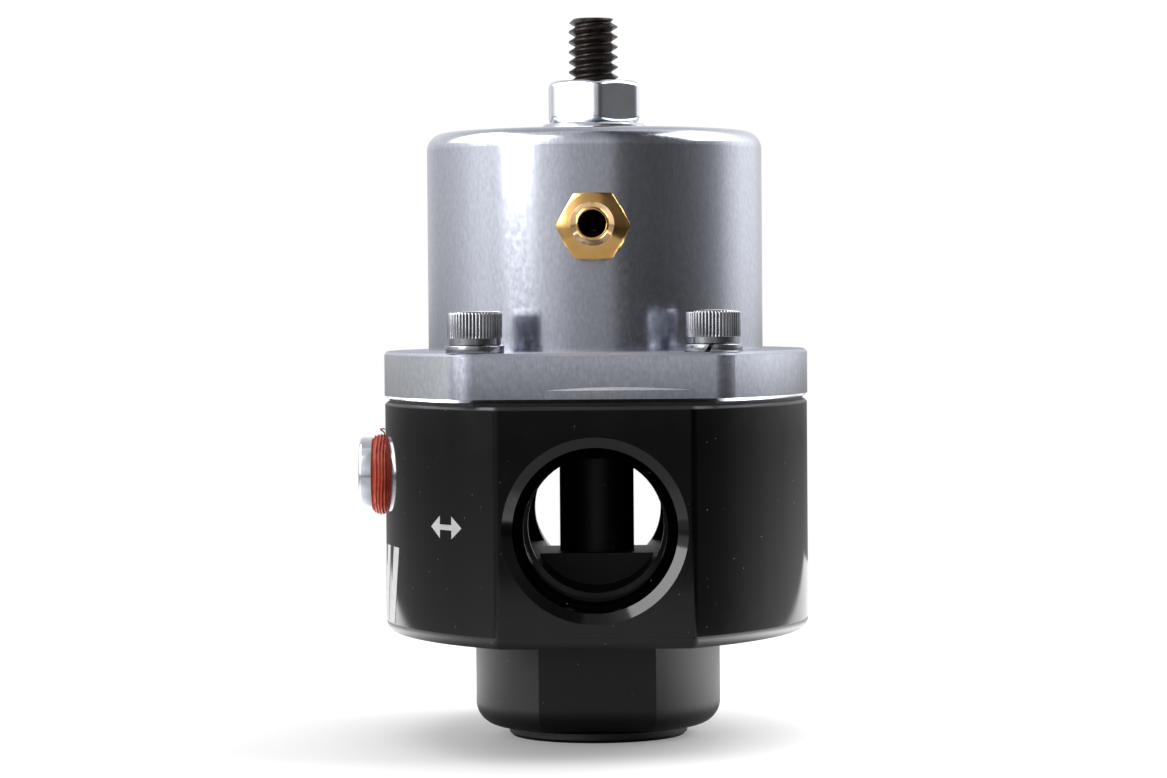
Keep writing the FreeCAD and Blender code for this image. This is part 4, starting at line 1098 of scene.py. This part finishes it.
def floor():
    """A pale floor that fades into the white surroundings.

    The camera sees it glow a little and evenly. What the object reflects is a painted glow, brightest to
    the sides, with a painted shadow close round the object.
    """
    mesh = bpy.data.meshes.new("floor")
    corners = [(x * FLOOR_HALF, y * FLOOR_HALF, FLOOR_LEVEL) for x, y in CORNERS]
    mesh.from_pydata(corners, [], [(0, 1, 2, 3)])
    plane = bpy.data.objects.new("floor", mesh)
    bpy.context.scene.collection.objects.link(plane)
    made, tree, shader = material("floor", (0.80, 0.80, 0.80), 0.0, 0.6, 0.2)
    place = node(tree, "ShaderNodeTexCoord").outputs["Object"]
    distance = length_of(tree, place)
    axes = axis_values(tree, place)
    reach = combine(tree, *(
        ramp(tree, size_of(tree, axes[axis]), [(limit - FLOOR_EDGE, 1.0), (limit + FLOOR_EDGE, 0.0)])
        for axis, limit in (("X", FLOOR_HALF_WIDTH), ("Y", FLOOR_HALF_DEPTH))))
    fade = ramp(tree, distance, FLOOR_FADE)
    # Painted light and shadow: the floor that the object reflects glows by bearing and is dimmed close
    # round the object
    glow = combine(tree, light_around(tree, axes, FLOOR_PAINTED_LIGHT), ramp(tree, distance, FLOOR_PAINTED_SHADOW))
    by_camera = seen_by_camera(tree)
    feed(tree, shader.inputs["Alpha"], choose(tree, by_camera, reach, fade))
    feed(tree, shader.inputs["Base Color"],
         choose(tree, by_camera, FLOOR_REFLECTED_SHADE, FLOOR_SHADE))
    feed(tree, shader.inputs["Emission Color"], WHITE)
    feed(tree, shader.inputs["Emission Strength"], choose(tree, by_camera, glow, FLOOR_GLOW))
    mesh.materials.append(made)


def surroundings():
    """The studio as the object reflects it; the camera itself sees plain white."""
    world = bpy.data.worlds.new("studio")
    bpy.context.scene.world = world
    world.use_nodes = True
    tree = world.node_tree
    axes = axis_values(tree, node(tree, "ShaderNodeTexCoord").outputs["Generated"])
    rising = ramp(tree, rise(tree, axes["Z"], -1.0, 1.0), LIGHT_BY_HEIGHT)
    light = mix_colours(tree, 1.0, light_around(tree, axes, SURROUNDINGS), rising, "MULTIPLY")
    seen = mix_colours(tree, seen_by_camera(tree), light, WHITE)
    feed(tree, tree.nodes["Background"].inputs["Color"], seen)


# The point that the lamps aim at
LIT_POINT = Vector((0.0, 0.0, 0.03))
# Name, place, size, power, and what the lamp may reach
LAMPS = (
    ("front_left", (-0.69, -0.52, 0.53), (0.44, 0.9), 6.8, "reflections"),
    ("left", (-0.8, 0.1, 0.75), (0.9, 0.7), 8.0, "reflections"),
    ("right", (0.8, 0.1, 0.75), (0.9, 0.7), 8.0, "everything"),
    ("overhead", (0.05, 0.0, 1.0), (1.5, 1.1), 7.0, "diffuse"),
)


def area_light(name, place, size, power, lights):
    """A rectangular lamp that points at the object; lights names what it may reach."""
    lamp = bpy.data.lights.new(name, "AREA")
    lamp.shape = "RECTANGLE"
    lamp.size, lamp.size_y = size
    lamp.energy = power
    made = bpy.data.objects.new(name, lamp)
    made.location = place
    made.rotation_euler = (LIT_POINT - Vector(place)).to_track_quat("-Z", "Y").to_euler()
    made.visible_diffuse = lights != "reflections"
    made.visible_glossy = lights != "diffuse"
    bpy.context.scene.collection.objects.link(made)


def camera():
    """The photograph's viewpoint."""
    lens = bpy.data.cameras.new("camera")
    lens.lens = LENS
    lens.clip_start = 0.01
    made = bpy.data.objects.new("camera", lens)
    turn = (Matrix.Rotation(math.radians(CAMERA_YAW), 4, "Z")
            @ Matrix.Rotation(math.radians(90 - CAMERA_PITCH), 4, "X")
            @ Matrix.Rotation(math.radians(-CAMERA_ROLL), 4, "Z"))
    made.matrix_world = Matrix.Translation(CAMERA_PLACE) @ turn
    bpy.context.scene.collection.objects.link(made)
    bpy.context.scene.camera = made


dress_cad_nodes()
threaded_stud()
jam_nut()
cap_screws()
lock_washers()
gauge_plug()
hose_nipple()
sealant_bead()
flexing_spring()
flow_arrow()
side_bars()
floor()
surroundings()
for lamp_settings in LAMPS:
    area_light(*lamp_settings)
camera()

bpy.context.scene.view_settings.view_transform = "Standard"
